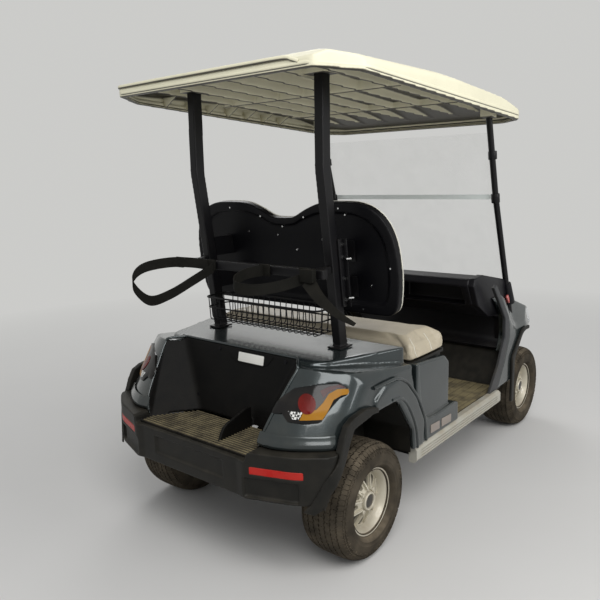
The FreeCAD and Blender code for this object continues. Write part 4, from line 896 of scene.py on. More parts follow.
def dressed(item: Piece, finish: Finish | Clear, body: str = "root", replaces: Sequence[str] = (),
            angle: float = 35.0) -> Piece:
    """Give a finished piece its material, shading and body.

    Args:
        item: The piece, with its place in its mesh.
        finish: The surface it gets.
        body: The CAD body it rides on.
        replaces: The CAD nodes it stands for.
        angle: The edge angle, in degrees, under which shading is smooth.

    Returns:
        The piece.
    """
    item.data.materials.clear()
    item.data.materials.append(finish.material())
    alone(item)
    bpy.ops.object.shade_smooth_by_angle(angle=math.radians(angle))
    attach(item, body)
    if replaces:
        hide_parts(*replaces)
    LOG.info("%s on %s", item.name, body)
    return item


@dataclass(frozen=True)
class Moulding:
    """A CAD node that a rounded piece stands for.

    Attributes:
        node: The CAD node.
        name: The piece's name.
        voxel: The grid that its shell is remade on, in metres.
        times: How often its surface is evened out.
        limit: The most triangles to keep.
        finish: The surface it gets.
        slot: The record's slot it belongs to; not used.
        angle: The edge angle, in degrees, under which shading is smooth.
    """

    node: str
    name: str
    voxel: float
    times: int
    limit: int
    finish: Finish | Clear
    slot: Slot
    angle: float = 60.0

    def shape(self) -> Piece:
        """Return the rounded copy of the node."""
        return softened(clone(self.node, self.name), self.voxel, self.times, self.limit)

    def dress(self, item: Piece) -> Piece:
        """Dress the rounded copy in place of its node."""
        return dressed(item, self.finish, replaces=(self.node,), angle=self.angle)

    def build(self) -> Piece:
        """Make and dress the moulding."""
        return self.dress(self.shape())


# Soft goods


def stuffed(item: Piece, cap: float, inset: float = 0.004, voxel: float = 0.007,
            held: float = 0.012) -> Piece:
    """Blow up a plain cushion as cloth under a little pressure.

    Args:
        item: The plain cushion.
        cap: The most that a point may move, in metres.
        inset: How much smaller the cushion starts.
        voxel: The cloth's grid in metres.
        held: The height of the underside that stays on its board.

    Returns:
        The cushion.
    """
    floor = min(vertex.co.z for vertex in item.data.vertices)
    applied(item, "DISPLACE", strength=-inset, mid_level=0.0)
    applied(item, "REMESH", mode="VOXEL", voxel_size=voxel * 1)
    applied(item, "SMOOTH", factor=0.5, iterations=14)
    start = [vertex.co.copy() for vertex in item.data.vertices]
    group = item.vertex_groups.new(name="held")
    group.add([vertex.index for vertex in item.data.vertices if vertex.co.z < floor + held], 1.0, "REPLACE")
    alone(item)
    cloth = item.modifiers.new("cloth", "CLOTH")
    settings = cloth.settings
    settings.use_pressure = True
    settings.uniform_pressure_force = 4.0
    settings.effector_weights.gravity = 0.0
    settings.vertex_group_mass = "held"
    settings.quality = 4
    for step in range(1, 21):
        bpy.context.scene.frame_set(step)
    bpy.ops.object.modifier_apply(modifier=cloth.name)
    bpy.context.scene.frame_set(1)
    for vertex, place in zip(item.data.vertices, start):
        move = vertex.co - place
        if move.length > cap:
            vertex.co = place + move.normalized() * cap
    item.vertex_groups.clear()
    applied(item, "SUBSURF", levels=1, render_levels=1)
    return thinned(item, PAD_LIMIT)


def seam(name: str, item: Piece, guides: Sequence[Vector], radius: float) -> Piece:
    """Lay a sewn cord on the nearest points of a cushion's skin.

    Args:
        name: The cord's name.
        item: The cushion.
        guides: Points near the cushion that the cord follows.
        radius: The cord's radius in metres.

    Returns:
        The cord.
    """
    path = []
    for point in curved(guides, 10):
        found, place, normal, _ = item.closest_point_on_mesh(point)
        path.append(place + normal * radius * 0.4 if found else point)
    path = [(a + b * 2 + c) / 4 for a, b, c in zip(path[:1] + path[:-1], path, path[1:] + path[-1:])]
    return wires(name, [path], radius)


# Wheels


@dataclass
class Wheels:
    """Four tyres with a zig-zag tread on cast rims with five pairs of spokes.

    Attributes:
        radius: The tyre over its tread, in millimetres.
        depth: The depth of the tread.
        pitches: How often the tread pattern repeats.
        rows: The middles of the block rows, across the tread.
        row: The measure across that a block's outline is scaled by.
        wave: A block's outline, as shares of a pitch and of that measure.
        shoulder: A shoulder lug's outline, as (share of a pitch, across).
        skin: The tyre's skin over its tread, as (across, radius, y).
        outer: Half the carcass's outer profile, as (radius, y).
        inner: Half its inner profile.
        barrel: The rim's profile.
        spokes: The number of pairs of spokes.
        between: The opening between the two spokes of a pair, as (across, radius, corner radius).
        beside: The opening beside a pair.
    """

    radius: float = 228.5
    depth: float = 6.5
    pitches: int = 36
    rows: tuple[float, ...] = (-62, -37.5, -12.5, 12.5, 37.5, 62)
    row: float = 22.5
    wave: tuple[Corner, ...] = (
        (0.012, -0.36), (0.25, -0.56), (0.50, -0.30), (0.75, -0.56), (0.988, -0.36), (0.96, 0.04),
        (0.988, 0.50), (0.75, 0.30), (0.50, 0.56), (0.25, 0.30), (0.012, 0.50), (0.04, 0.04))
    shoulder: tuple[Corner, ...] = (
        (0.01, 76), (0.13, 79), (0.25, 74), (0.37, 79), (0.48, 76), (0.49, 88), (0.44, 99), (0.05, 99),
        (0.02, 88))
    skin: tuple[Corner, ...] = (
        (0, 228.5, 0), (50, 227.5, 50), (72, 224, 71.6), (86, 218.5, 84.5), (100, 208, 94), (114, 195, 99.5),
        (130, 179, 102))
    outer: tuple[Corner, ...] = (
        (222, 0), (221, 50), (217.5, 71), (212.5, 82), (203.5, 91), (192.5, 97.5), (179, 100.5), (166, 101.5),
        (163, 102.3), (160, 101.2), (151, 100), (148, 100.6), (145, 98.8), (138, 92), (134, 81), (122, 79),
        (122, 68))
    inner: tuple[Corner, ...] = ((140, 70), (150, 80), (180, 88), (205, 80), (211, 60), (213, 0))
    barrel: tuple[Corner, ...] = (
        (134, -80), (134, -69), (122.5, -68), (122.5, 68), (134, 69), (134.5, 76), (132, 80.5), (127, 80.5),
        (122, 73), (114, 64), (110, 48), (105, 37), (96, 38), (60, 52), (46, 58), (38, 62), (33, 64),
        (13, 64), (13, -12), (38, -12), (38, 42), (60, 42), (96, 27), (108, 26), (112, 16), (112, -66),
        (126, -80))
    spokes: int = 5
    between: tuple[Corner, ...] = ((-5, 50, 3), (-25, 95, 5), (-12, 101, 12), (12, 101, 12), (25, 95, 5),
                                   (5, 50, 3))
    beside: tuple[Corner, ...] = ((-7, 54, 3), (-18, 93, 6), (-9, 101, 8), (9, 101, 8), (18, 93, 6),
                                  (7, 54, 3))

    def on_skin(self, along: float, across: float, lift: float) -> Vector:
        """Find a point of the tyre.

        Args:
            along: The distance along the tread in millimetres.
            across: The distance across it from its middle.
            lift: The height over the skin.

        Returns:
            The point, in metres.
        """
        side = -1 if across < 0 else 1
        across = min(abs(across), self.skin[-1][0] - 0.01)
        for (a, ra, ya), (b, rb, yb) in zip(self.skin, self.skin[1:]):
            if across <= b:
                share = (across - a) / (b - a)
                radius, y = ra + (rb - ra) * share, ya + (yb - ya) * share
                slope = Vector((-(rb - ra), yb - ya)).normalized()
                break
        angle = along / self.radius
        radius, y = radius + slope.y * lift, y + slope.x * lift
        return Vector((radius * math.sin(angle), side * y, radius * math.cos(angle))) / 1000

    def lug(self, outline: Sequence[Corner], depth: float) -> Piece:
        """Make a block of tread.

        Args:
            outline: Its outline, along and across the tread, in millimetres.
            depth: Its depth.

        Returns:
            The block.
        """
        item = extruded(ring("lug", [Vector((along, across, 0)) for along, across in outline]), (0, 0, -1))
        for vertex in item.data.vertices:
            lift = 0 if vertex.co.z > -0.5 else -depth
            vertex.co = self.on_skin(vertex.co.x, vertex.co.y, lift)
        return merged(item, DOUBLED / 2)

    def pitch(self) -> list[Piece]:
        """Make one pitch of the tread: six rows of blocks, shoulder lugs and the serrated edge.

        Returns:
            The blocks.
        """
        step = math.tau * self.radius / self.pitches
        items = []
        for i, row in enumerate(self.rows):
            width = math.copysign(self.row, row)
            shift = step * (i % 2) / 2
            items.append(self.lug([(shift + a * step, row + width * b) for a, b in self.wave], self.depth))
        for side in (-1, 1):
            for shift in (0, step / 2):
                items.append(self.lug([(shift + step * a, side * b) for a, b in self.shoulder], self.depth))
            for k in range(3):
                start = step * (k + 0.15) / 3
                end = start + step * 0.22
                items.append(self.lug([(start, side * 101), (end, side * 101), (end, side * 106),
                                       (start, side * 106)], 2.5))
            for start, low, high in ((0.08, 110, 117), (0.58, 112, 121)):
                corners = ((start, low), (start + 0.36, low), (start + 0.30, high), (start + 0.06, high))
                items.append(self.lug([(step * a, side * b) for a, b in corners], 2.0))
        return items

    def tyre(self) -> Piece:
        """Make a tyre about the Y axis at the origin.

        Returns:
            The tyre.
        """
        tread = joined("tread", self.pitch())
        turn = math.tau * (1 - 1 / self.pitches)
        edit(tread, lambda: bpy.ops.mesh.spin(steps=self.pitches - 1, angle=turn, dupli=True,
                                              center=(0, 0, 0),
                                              axis=(0, 1, 0)))
        profile = [(r, -y) for r, y in reversed(self.outer[1:])] + [*self.outer, *self.inner]
        profile += [(r, -y) for r, y in reversed(self.inner[:-1])]
        return joined("tyre", [turned("carcass", profile, 96), tread])

    def spoke_turn(self, k: int) -> Matrix:
        """Return the turn about the Y axis that brings a pair of spokes to its place."""
        return Matrix.Rotation(math.tau * (k + 0.35) / self.spokes, 4, "Y")

    def openings(self) -> list[Piece]:
        """Make the tools that cut the openings between the spokes.

        Returns:
            The tools.
        """
        half_turn = Matrix.Rotation(math.tau / self.spokes / 2, 4, "Y")
        tools = []
        for k in range(self.spokes):
            turn = self.spoke_turn(k)
            for place, corners in ((turn, self.between), (turn @ half_turn, self.beside)):
                outline = [place @ (Vector((u, -100, r)) / 1000) for u, r in rounded(corners, 3)]
                tools.append(extruded(ring("opening", outline), (0, 0.3, 0)))
        return tools

    def ribs(self) -> list[Piece]:
        """Make the raised ribs of the spokes.

        Returns:
            The ribs.
        """
        ribs = []
        for k in range(self.spokes):
            for side in (-1, 1):
                rib = ring("rib", [Vector((-0.0035, y / 1000, r / 1000)) for r, y in (
                    (0, 69), (14, 65), (44, 50), (64, 42), (66, 30), (0, 44))])
                extruded(rib, (0.007, 0, 0))
                start = Matrix.Translation(Vector((side * 9, 0, 42)) / 1000)
                lean = Matrix.Rotation(side * math.radians(24.5), 4, "Y")
                rib.data.transform(self.spoke_turn(k) @ start @ lean)
                ribs.append(bevelled(rib, 0.0014))
        return ribs

    def rim(self) -> Piece:
        """Make a cast rim about the Y axis: a deep lip, five pairs of spokes and four nuts.

        Returns:
            The rim.
        """
        ribs = self.ribs()
        rim = carved(turned("rim", self.barrel, 80), joined("openings", self.openings()))
        nuts = []
        for k in range(4):
            nut = bar("nut", Vector((0, 0.056, 0.047)), Vector((0, 0.069, 0.047)), 0.0085, 6, bevel=0.001)
            nut.data.transform(Matrix.Rotation(math.tau * (k + 0.5) / 4, 4, "Y"))
            nuts.append(nut)
        return joined("rim", [rim, *ribs, *nuts])

    def trim(self) -> tuple[Piece, Piece, Piece]:
        """Make what sits in the middle of a rim.

        Returns:
            The blank cap, the ring round it and the dark drum behind.
        """
        cap = turned("cap", [(0.1, 66), (0.1, 74), (18, 73.6), (24, 72), (26.5, 69), (26.5, 62), (24, 60)],
                     48)
        collar = turned("cap_ring", [(27, 60), (27, 73), (29, 76), (33, 76), (36, 73), (38, 58)], 48)
        drum = turned("drum", [(15, -40), (98, -40), (98, 16), (90, 22), (15, 22)], 64)
        return cap, collar, drum

    def build(self) -> None:
        """Make and dress the four wheels."""
        tyre, rim = self.tyre(), self.rim()
        cap, collar, drum = self.trim()
        for end, axle in (("rear", REAR_AXLE), ("front", FRONT_AXLE)):
            for side, sign in SIDES:
                hub = Vector((axle.x, sign * axle.y, axle.z))
                place = Matrix.Translation(hub) @ Matrix.Rotation(0 if sign > 0 else math.pi, 4, "X")
                for source, name, finish, slot, stands in (
                        (tyre, "tyre_treaded", RUBBER, Slot.TYRE, (f"tyre_{end}_{side}",)),
                        (rim, "rim_cast", RIM_PAINT, Slot.RIM, (f"rim_{end}_{side}",)),
                        (cap, "hub_cap", CAP, Slot.PLASTIC, ()),
                        (collar, "hub_ring", RIM_PAINT, Slot.RIM, ()),
                        (drum, "brake_drum", CAP, Slot.PLASTIC, ())):
                    piece = source.copy()
                    piece.data = source.data.copy()
                    bpy.context.scene.collection.objects.link(piece)
                    piece.data.transform(place)
                    dressed(named(piece, f"{name}_{end}_{side}"), finish, f"wheel_{end}_{side}", stands)
        for source in (tyre, rim, cap, collar, drum):
            bpy.data.objects.remove(source)


# Bodywork


@dataclass
class RearBody:
    """The painted rear moulding with its lamps, bumper, arch bands and bag well.

    Attributes:
        lamp_turn: The direction of the lamp's face in plan, as (forward, outward).
        lamp_room: How far outside the lamp the tools of its inlays start, and how far they reach in.
        lens: The middle of the round red lens on the lamp's face, along and up.
        lens_radius: Its radius.
        wall: A point of the well's front wall, x and z.
        slope: The wall's lean, as x over z.
        floor: The outline of the well's floor, as (x, y).
    """

    lamp_turn: tuple[float, float] = (0.643, 0.766)
    lamp_room: tuple[float, float] = (640, 300)
    lens: tuple[float, float] = (184, 673)
    lens_radius: float = 31
    wall: tuple[float, float] = (-188, 500)
    slope: float = 0.2163
    floor: tuple[Corner, ...] = (
        (-398, -296), (-398, 296), (-352, 297), (-288, 250), (-196, 184), (-191, 160), (-191, -160),
        (-196, -184), (-288, -250), (-352, -297))

    def inlay(self, name: str, outline: Sequence[Corner], lift: float) -> Piece:
        """Cut a coloured inlay of the left lamp.

        Args:
            name: The inlay's name.
            outline: Its outline on the lamp's face, along and up, in millimetres.
            lift: How far it stands over the lamp's CAD shape, in metres.

        Returns:
            The inlay.
        """
        ahead, aside = self.lamp_turn
        out, depth = self.lamp_room
        lamp = applied(clone("tail_lamps", f"{name}_skin"), "DISPLACE", strength=lift, mid_level=0.0)
        tool = ring(name, [at(a * ahead - out * aside, a * aside + out * ahead, b)
                           for a, b in rounded(outline)])
        extruded(tool, at(depth * aside, -depth * ahead, 0) - at(0, 0, 0))
        return carved(tool, lamp, "INTERSECT")

    def lamps(self) -> None:
        """Dress the dark lamps with their lenses."""
        housing = clone("tail_lamps", "lamp_housings")
        applied(housing, "DISPLACE", strength=0.0070, mid_level=0.0)
        bevelled(housing, 0.0026, angle=0.7)
        dressed(housing, LAMP_DARK, replaces=("tail_lamps",), angle=50)
        turns = [k * math.tau / 32 for k in range(32)]
        circle = [(self.lens[0] + self.lens_radius * math.cos(turn),
                   self.lens[1] + self.lens_radius * math.sin(turn))
                  for turn in turns]
        stripe = ((343, 712), (319, 717), (291, 716), (262, 702), (241, 676), (216, 655), (170, 648),
                  (156, 622), (238, 624), (258, 652), (278, 684), (306, 697), (343, 699))
        tip = ((232, 712), (262, 724), (300, 730), (338, 726), (318, 721), (290, 720), (262, 707), (242, 690))
        for name, outline, finish, lift in (
                ("lamp_red_lens", circle, LENS_RED, 0.0096), ("lamp_amber_stripe", stripe, AMBER, 0.0084),
                ("lamp_checker", ((118, 648), (168, 648), (154, 624), (132, 624)), CHECKER, 0.0086),
                ("lamp_tip", tip, DARK_RED, 0.0080)):
            left = self.inlay(f"{name}_left", outline, lift)
            for piece in (left, mirror_of(left, f"{name}_right")):
                dressed(piece, finish, angle=30)

    def on_wall(self, y: float, z: float, lift: float = 0.0) -> Vector:
        """Return a point on the well's sloping front wall, lifted off it to the rear."""
        return at(self.wall[0] + (z - self.wall[1]) * self.slope - lift, y, z + lift * self.slope)

    def on_wall_plate(self, name: str, corners: Sequence[Corner], low: float, high: float,
                      bevel: float) -> Piece:
        """Make a plate on the well's front wall.

        Args:
            name: The plate's name.
            corners: Its corners as (y, z), as rounded() takes them.
            low: The height of its back over the wall in millimetres.
            high: The height of its face.
            bevel: The width of the rounding of its edges, in metres.

        Returns:
            The plate.
        """
        item = ring(name, [self.on_wall(y, z, low) for y, z in rounded(corners)])
        return bevelled(extruded(item, self.on_wall(0, 0, high) - self.on_wall(0, 0, low)), bevel)

    def well(self) -> None:
        """Dress the bag well's liner, its ribbed mat, and the plates on its front wall."""
        Moulding("bag_well", "well_liner", 0.004, 4, 36000, LINER, Slot.PLASTIC).build()
        under = [(x + (3 if x > -390 else 0), y * 1.01) for x, y in self.floor]
        dressed(plate("well_floor", "XY", under, 485, 491), LINER)
        sheet = plate("well_mat_sheet", "XY", self.floor, 491, 493.5)
        ribs = block("well_mat_ribs", at(-396, -292, 492), at(-390, 292, 497.5), 0.0014, 1)
        applied(ribs, "ARRAY", use_relative_offset=False, use_constant_offset=True,
                constant_offset_displace=(0.0148, 0, 0), count=14)
        carved(ribs, plate("mat_edge", "XY", [(x * 0.992 - 2, y * 0.985) for x, y in self.floor], 480, 510),
               "INTERSECT")
        dressed(sheet, GROOVE, replaces=("well_mat",))
        dressed(ribs, MAT)
        badge = ((73, 772), (22, 736, 14), (-10, 722, 14), (-138, 722, 14), (-170, 738, 14), (-196, 772))
        dressed(self.on_wall_plate("well_badge_frame", badge, -4, 2.5, 0.0015), LINER)
        sticker = ((-12, 732, 4), (-12, 768, 4), (-148, 768, 4), (-148, 732, 4))
        dressed(self.on_wall_plate("blank_sticker", sticker, 2.4, 3.4, 0.0003), BLANK)
        for i, (y, z) in enumerate(((-256, 764), (100, 764), (200, 560), (-230, 590))):
            plug = bar(f"well_plug_{i}", self.on_wall(y, z, -2), self.on_wall(y, z, 3), 0.009, 24, 0.007)
            dressed(plug, SHELL)

    def lip(self) -> None:
        """Make the bright lip along the foot of the rear moulding, over the bumper."""
        line = curved([at(x, y, 0) for x, y in (
            (-345, 308), (-348, 350), (-343, 383), (-318, 443), (-262, 523), (-222, 556))], 6)
        steps = ((-2, 574), (3, 560), (11, 548), (15, 540), (15, 526), (4, 524))
        bpy.ops.mesh.primitive_grid_add(x_subdivisions=len(line) - 1, y_subdivisions=len(steps) - 1, size=1)
        left = named(bpy.context.object, "rear_lip_left")
        for i, vertex in enumerate(left.data.vertices):
            k, row = i % len(line), i // len(line)
            run = line[min(k + 1, len(line) - 1)] - line[max(k - 1, 0)]
            out = Vector((-run.y, run.x, 0)).normalized()
            out = -out if out.x > 0 else out
            vertex.co = line[k] + out * steps[row][0] / 1000 + Vector((0, 0, steps[row][1] / 1000))
        applied(left, "SOLIDIFY", thickness=0.003, offset=0)
        applied(left, "SUBSURF", levels=1, render_levels=1)
        edit(left, outwards)
        for piece in (left, mirror_of(left, "rear_lip_right")):
            dressed(piece, PAINT, angle=60)

    def flare(self) -> None:
        """Make the two rolled lines of the flare over each rear wheel."""
        outer = ((-20, 579, 690), (60, 585, 693), (140, 586, 688), (206, 586, 657), (252, 586, 614),
                 (292, 586, 570), (330, 586, 510), (360, 585, 446), (374, 584, 356))
        inner = ((96, 586, 614), (150, 587, 606), (184, 587, 588), (216, 587, 556), (244, 587, 516),
                 (270, 587, 470), (286, 587, 426), (294, 587, 380), (297, 586, 352))
        for side, sign in SIDES:
            lines = [curved([at(x, sign * y, z) for x, y, z in line], 6) for line in (outer, inner)]
            dressed(wires(f"flare_lines_{side}", lines, 0.0065, sides=3), PAINT, angle=60)

    def panels(self) -> None:
        """Make the side panels under the seat, with their lower step and blank reflectors."""
        base = plate("side_panel_left", "XZ", ((294, 352), (294, 700), (420, 690), (570, 676, 30),
                                               (611, 640, 24), (611, 352)), 533, 569, 0.009, 3)
        step = plate("step", "XZ", ((292, 350), (293, 703), (316, 701), (330, 560, 400), (366, 450, 52),
                                    (470, 441, 100), (640, 447, 10), (678, 436, 12), (681, 350)), 536, 583,
                                    0.005, 3)
        left = softened(joined("side_panel_left", [base, step]), 0.003, 4, 21000)
        both = joined("side_mouldings", [left, mirror_of(left, "side_panel_right")])
        dressed(both, PAINT, replaces=("side_panels",), angle=60)
        for side, sign in SIDES:
            for i, (x0, x1) in enumerate(((414, 494), (514, 604))):
                corners = [(x, z - 3 * i, 3) for x, z in ((x0, 372), (x1, 368), (x1, 404), (x0, 408))]
                item = plate(f"side_reflector_{side}_{i}", "XZ", corners, sign * 582, sign * 585.5, 0.0006)
                dressed(item, REFLECTOR)

    def edging(self) -> None:
        """Make the rolled edge round the mouth of the bag well."""
        edge = [at(x, y, z) for x, y, z in (
            (-352, 311, 520), (-347, 318, 545), (-335, 326, 580), (-310, 334, 620), (-280, 343, 660),
            (-250, 352, 700),
            (-219, 361, 740), (-196, 366, 768), (-184, 358, 783), (-128, 312, 786), (-123, 285, 786))]
        other = [Vector((point.x, -point.y, point.z)) for point in reversed(edge)]
        dressed(wires("well_edge", [curved(edge + other, 6)], 0.0055, sides=3), PAINT, angle=60)

    def build(self) -> None:
        """Make and dress the rear bodywork."""
        shell = Moulding("rear_body", "rear_moulding", 0.005, 6, 105000, PAINT, Slot.PAINT, 70)
        shell.dress(eased(shell.shape(), (-330, 440, 640), (110, 620, 800), 24))
        self.edging()
        self.lip()
        self.flare()
        self.panels()
        self.lamps()
        for moulding in (
                Moulding("rear_bumper", "bumper_moulding", 0.004, 4, 55000, BUMPER, Slot.PLASTIC),
                Moulding("rear_reflectors", "reflector_lenses", 0.002, 2, 8000, RED, Slot.RED),
                Moulding("arch_trims", "arch_bands", 0.004, 3, 60000, BUMPER, Slot.PLASTIC, 45)):
            moulding.build()
        self.well()


@dataclass
class FrontBody:
    """The painted nose with the dash, leg trims, arch bands, lamps and bumper.

    Attributes:
        droop: How far the nose's shoulders fall to the sides, in millimetres.
        taper: How far the shoulders draw in, as a share.
        cheek: The outline of the dash's ends, as (x, z, radius).
    """

    droop: float = 50
    taper: float = 0.045
    cheek: tuple[Corner, ...] = (
        (1004, 905, 8), (1020, 942, 14), (1110, 950, 20), (1400, 889), (1440, 800), (1386, 560), (1366, 560),
        (1345, 700, 60), (1194, 722, 30), (1062, 800, 10))

    def round_off(self, item: Piece) -> None:
        """Let the nose's shoulders fall softly to the sides, away from the dash and the headlamps.

        Args:
            item: A piece of the nose.
        """
        for vertex in item.data.vertices:
            x, y, z = (vertex.co - at(0, 0, 0)) * 1000
            share = ramp(x, 1330, 1470) * ramp(z, 560, 740)
            vertex.co.z -= share * self.droop * ramp(abs(y), 330, 540) / 1000
            vertex.co.y *= 1 - self.taper * share

    def inside(self) -> None:
        """Make the dark bulkhead under the dash and the dash's rounded ends."""
        wall = plate("leg_bulkhead", "XZ", ((1330, 520), (1376, 505), (1392, 780), (1384, 780),
                                            (1368, 560, 60), (1326, 528)), -500, 500, 0.003)
        dressed(wall, DASH)
        for side, sign in SIDES:
            dressed(plate(f"dash_cheek_{side}", "XZ", self.cheek, sign * 464, sign * 501, 0.006, 3), DASH)
            boot = bar(f"post_boot_{side}", at(1464, sign * 502, 752), at(1420, sign * 502, 866), 0.030, 32,
                       0.021, 0.004)
            dressed(boot, DASH)
            marker = plate(f"post_marker_{side}", "XZ", ((1398, 792, 6), (1432, 752, 6), (1446, 764, 6),
                                                         (1414, 806, 6)), sign * 505, sign * 516, 0.003)
            dressed(marker, PINK)

    def build(self) -> None:
        """Make and dress the front bodywork."""
        for moulding in (
                Moulding("front_body", "nose_moulding", 0.005, 8, 72000, PAINT, Slot.PAINT),
                Moulding("headlamps", "headlamp_lenses", 0.003, 2, 10000, LAMP_CLEAR, Slot.LAMP)):
            nose = moulding.shape()
            self.round_off(nose)
            moulding.dress(nose)
        for moulding in (
                Moulding("dash", "dash_moulding", 0.005, 5, 30000, DASH, Slot.PLASTIC),
                Moulding("leg_trims", "leg_trim_mouldings", 0.003, 3, 20000, TRIM_DARK, Slot.STRIP),
                Moulding("front_arch_trims", "front_arch_bands", 0.0035, 3, 40000, BUMPER, Slot.PLASTIC),
                Moulding("front_bumper", "front_bumper_moulding", 0.005, 5, 20000, BUMPER, Slot.PLASTIC)):
            moulding.build()
        self.inside()


@dataclass
class Roof:
    """The cream roof with its stepped rear face and rolled rim, on its posts.

    Attributes:
        rear: The rear rim's x and height.
        front: The front rim's x and height.
        half: Half the roof's width.
        gussets: The number of gussets on each side.
        slope: The fall of the line of gussets to the front, as z over x.
        ledge: The line along the rear face's step, from left to right.
    """

    rear: tuple[float, float] = (-246, 1790)
    front: tuple[float, float] = (1350, 1702)
    half: float = 600
    gussets: int = 7
    slope: float = 0.0551
    ledge: tuple[Corner, ...] = (
        (-150, 566, 1820), (-190, 540, 1827), (-238, 500, 1829), (-245, 440, 1829), (-246, 200, 1830),
        (-246, 0, 1830), (-246, -200, 1830), (-246, -380, 1829), (-245, -420, 1820), (-243, -446, 1810))

    def rim(self, inset: float) -> list[Vector]:
        """Draw the roof's outline in plan, at the height of its rim.

        Args:
            inset: How far the outline is set in, in millimetres.

        Returns:
            The outline's points.
        """
        rear, front, half = self.rear[0] + inset, self.front[0] - inset, self.half - inset
        left = ((rear, half - 100, 40), (rear + 155, half, 80), (front - 90, half, 60),
                (front, half - 110, 60))
        corners = [*left, *[(x, -y, r) for x, y, r in reversed(left)]]
        fall = (self.front[1] - self.rear[1]) / (self.front[0] - self.rear[0])
        return [at(x, y, self.rear[1] + (x - self.rear[0]) * fall) for x, y in rounded(corners, 6)]

    def bead(self) -> None:
        """Make the rolled rim, which dips a little in the middle of the rear."""
        line = self.rim(7)
        for point in line:
            near = min(max((at(-150, 0, 0).x - point.x) / 0.06, 0.0), 1.0)
            near *= min(max((0.44 - abs(point.y)) / 0.03, 0.0), 1.0)
            point.z += 0.014 - 0.009 * near
        dressed(wires("roof_rim_bead", [line], 0.0105, closed=True, sides=4), ROOF)

    def underside(self) -> None:
        """Make the gussets of the side channels under the roof."""
        gussets = []
        for _, sign in SIDES:
            for i in range(self.gussets):
                x = 60 + i * 130
                z = self.rear[1] - (x - self.rear[0]) * self.slope
                gussets.append(plate("gusset", "YZ",
                                     ((sign * 500, z + 44), (sign * 592, z + 44), (sign * 592, z + 6),
                                                      (sign * 566, z + 6)), x - 3, x + 3, 0.001))
        dressed(joined("roof_gussets", gussets), ROOF)

    def build(self) -> None:
        """Make and dress the roof and posts."""
        moulding = Moulding("roof", "roof_moulding", 0.005, 6, 100000, ROOF, Slot.ROOF, 70)
        roof = moulding.shape()
        for side, sign in SIDES:
            carved(roof, block(f"post_room_{side}", at(-56, sign * 345 - 60, 1700),
                               at(84, sign * 345 + 60, 1812)))
        moulding.dress(roof)
        self.bead()
        ledge = curved([at(*point) for point in self.ledge], 6)
        dressed(wires("roof_rear_ledge", [ledge], 0.0075, sides=4), ROOF)
        self.underside()
        Moulding("rear_posts", "rear_post_tubes", 0.003, 3, 24000, BLACK_PAINT, Slot.FRAME).build()


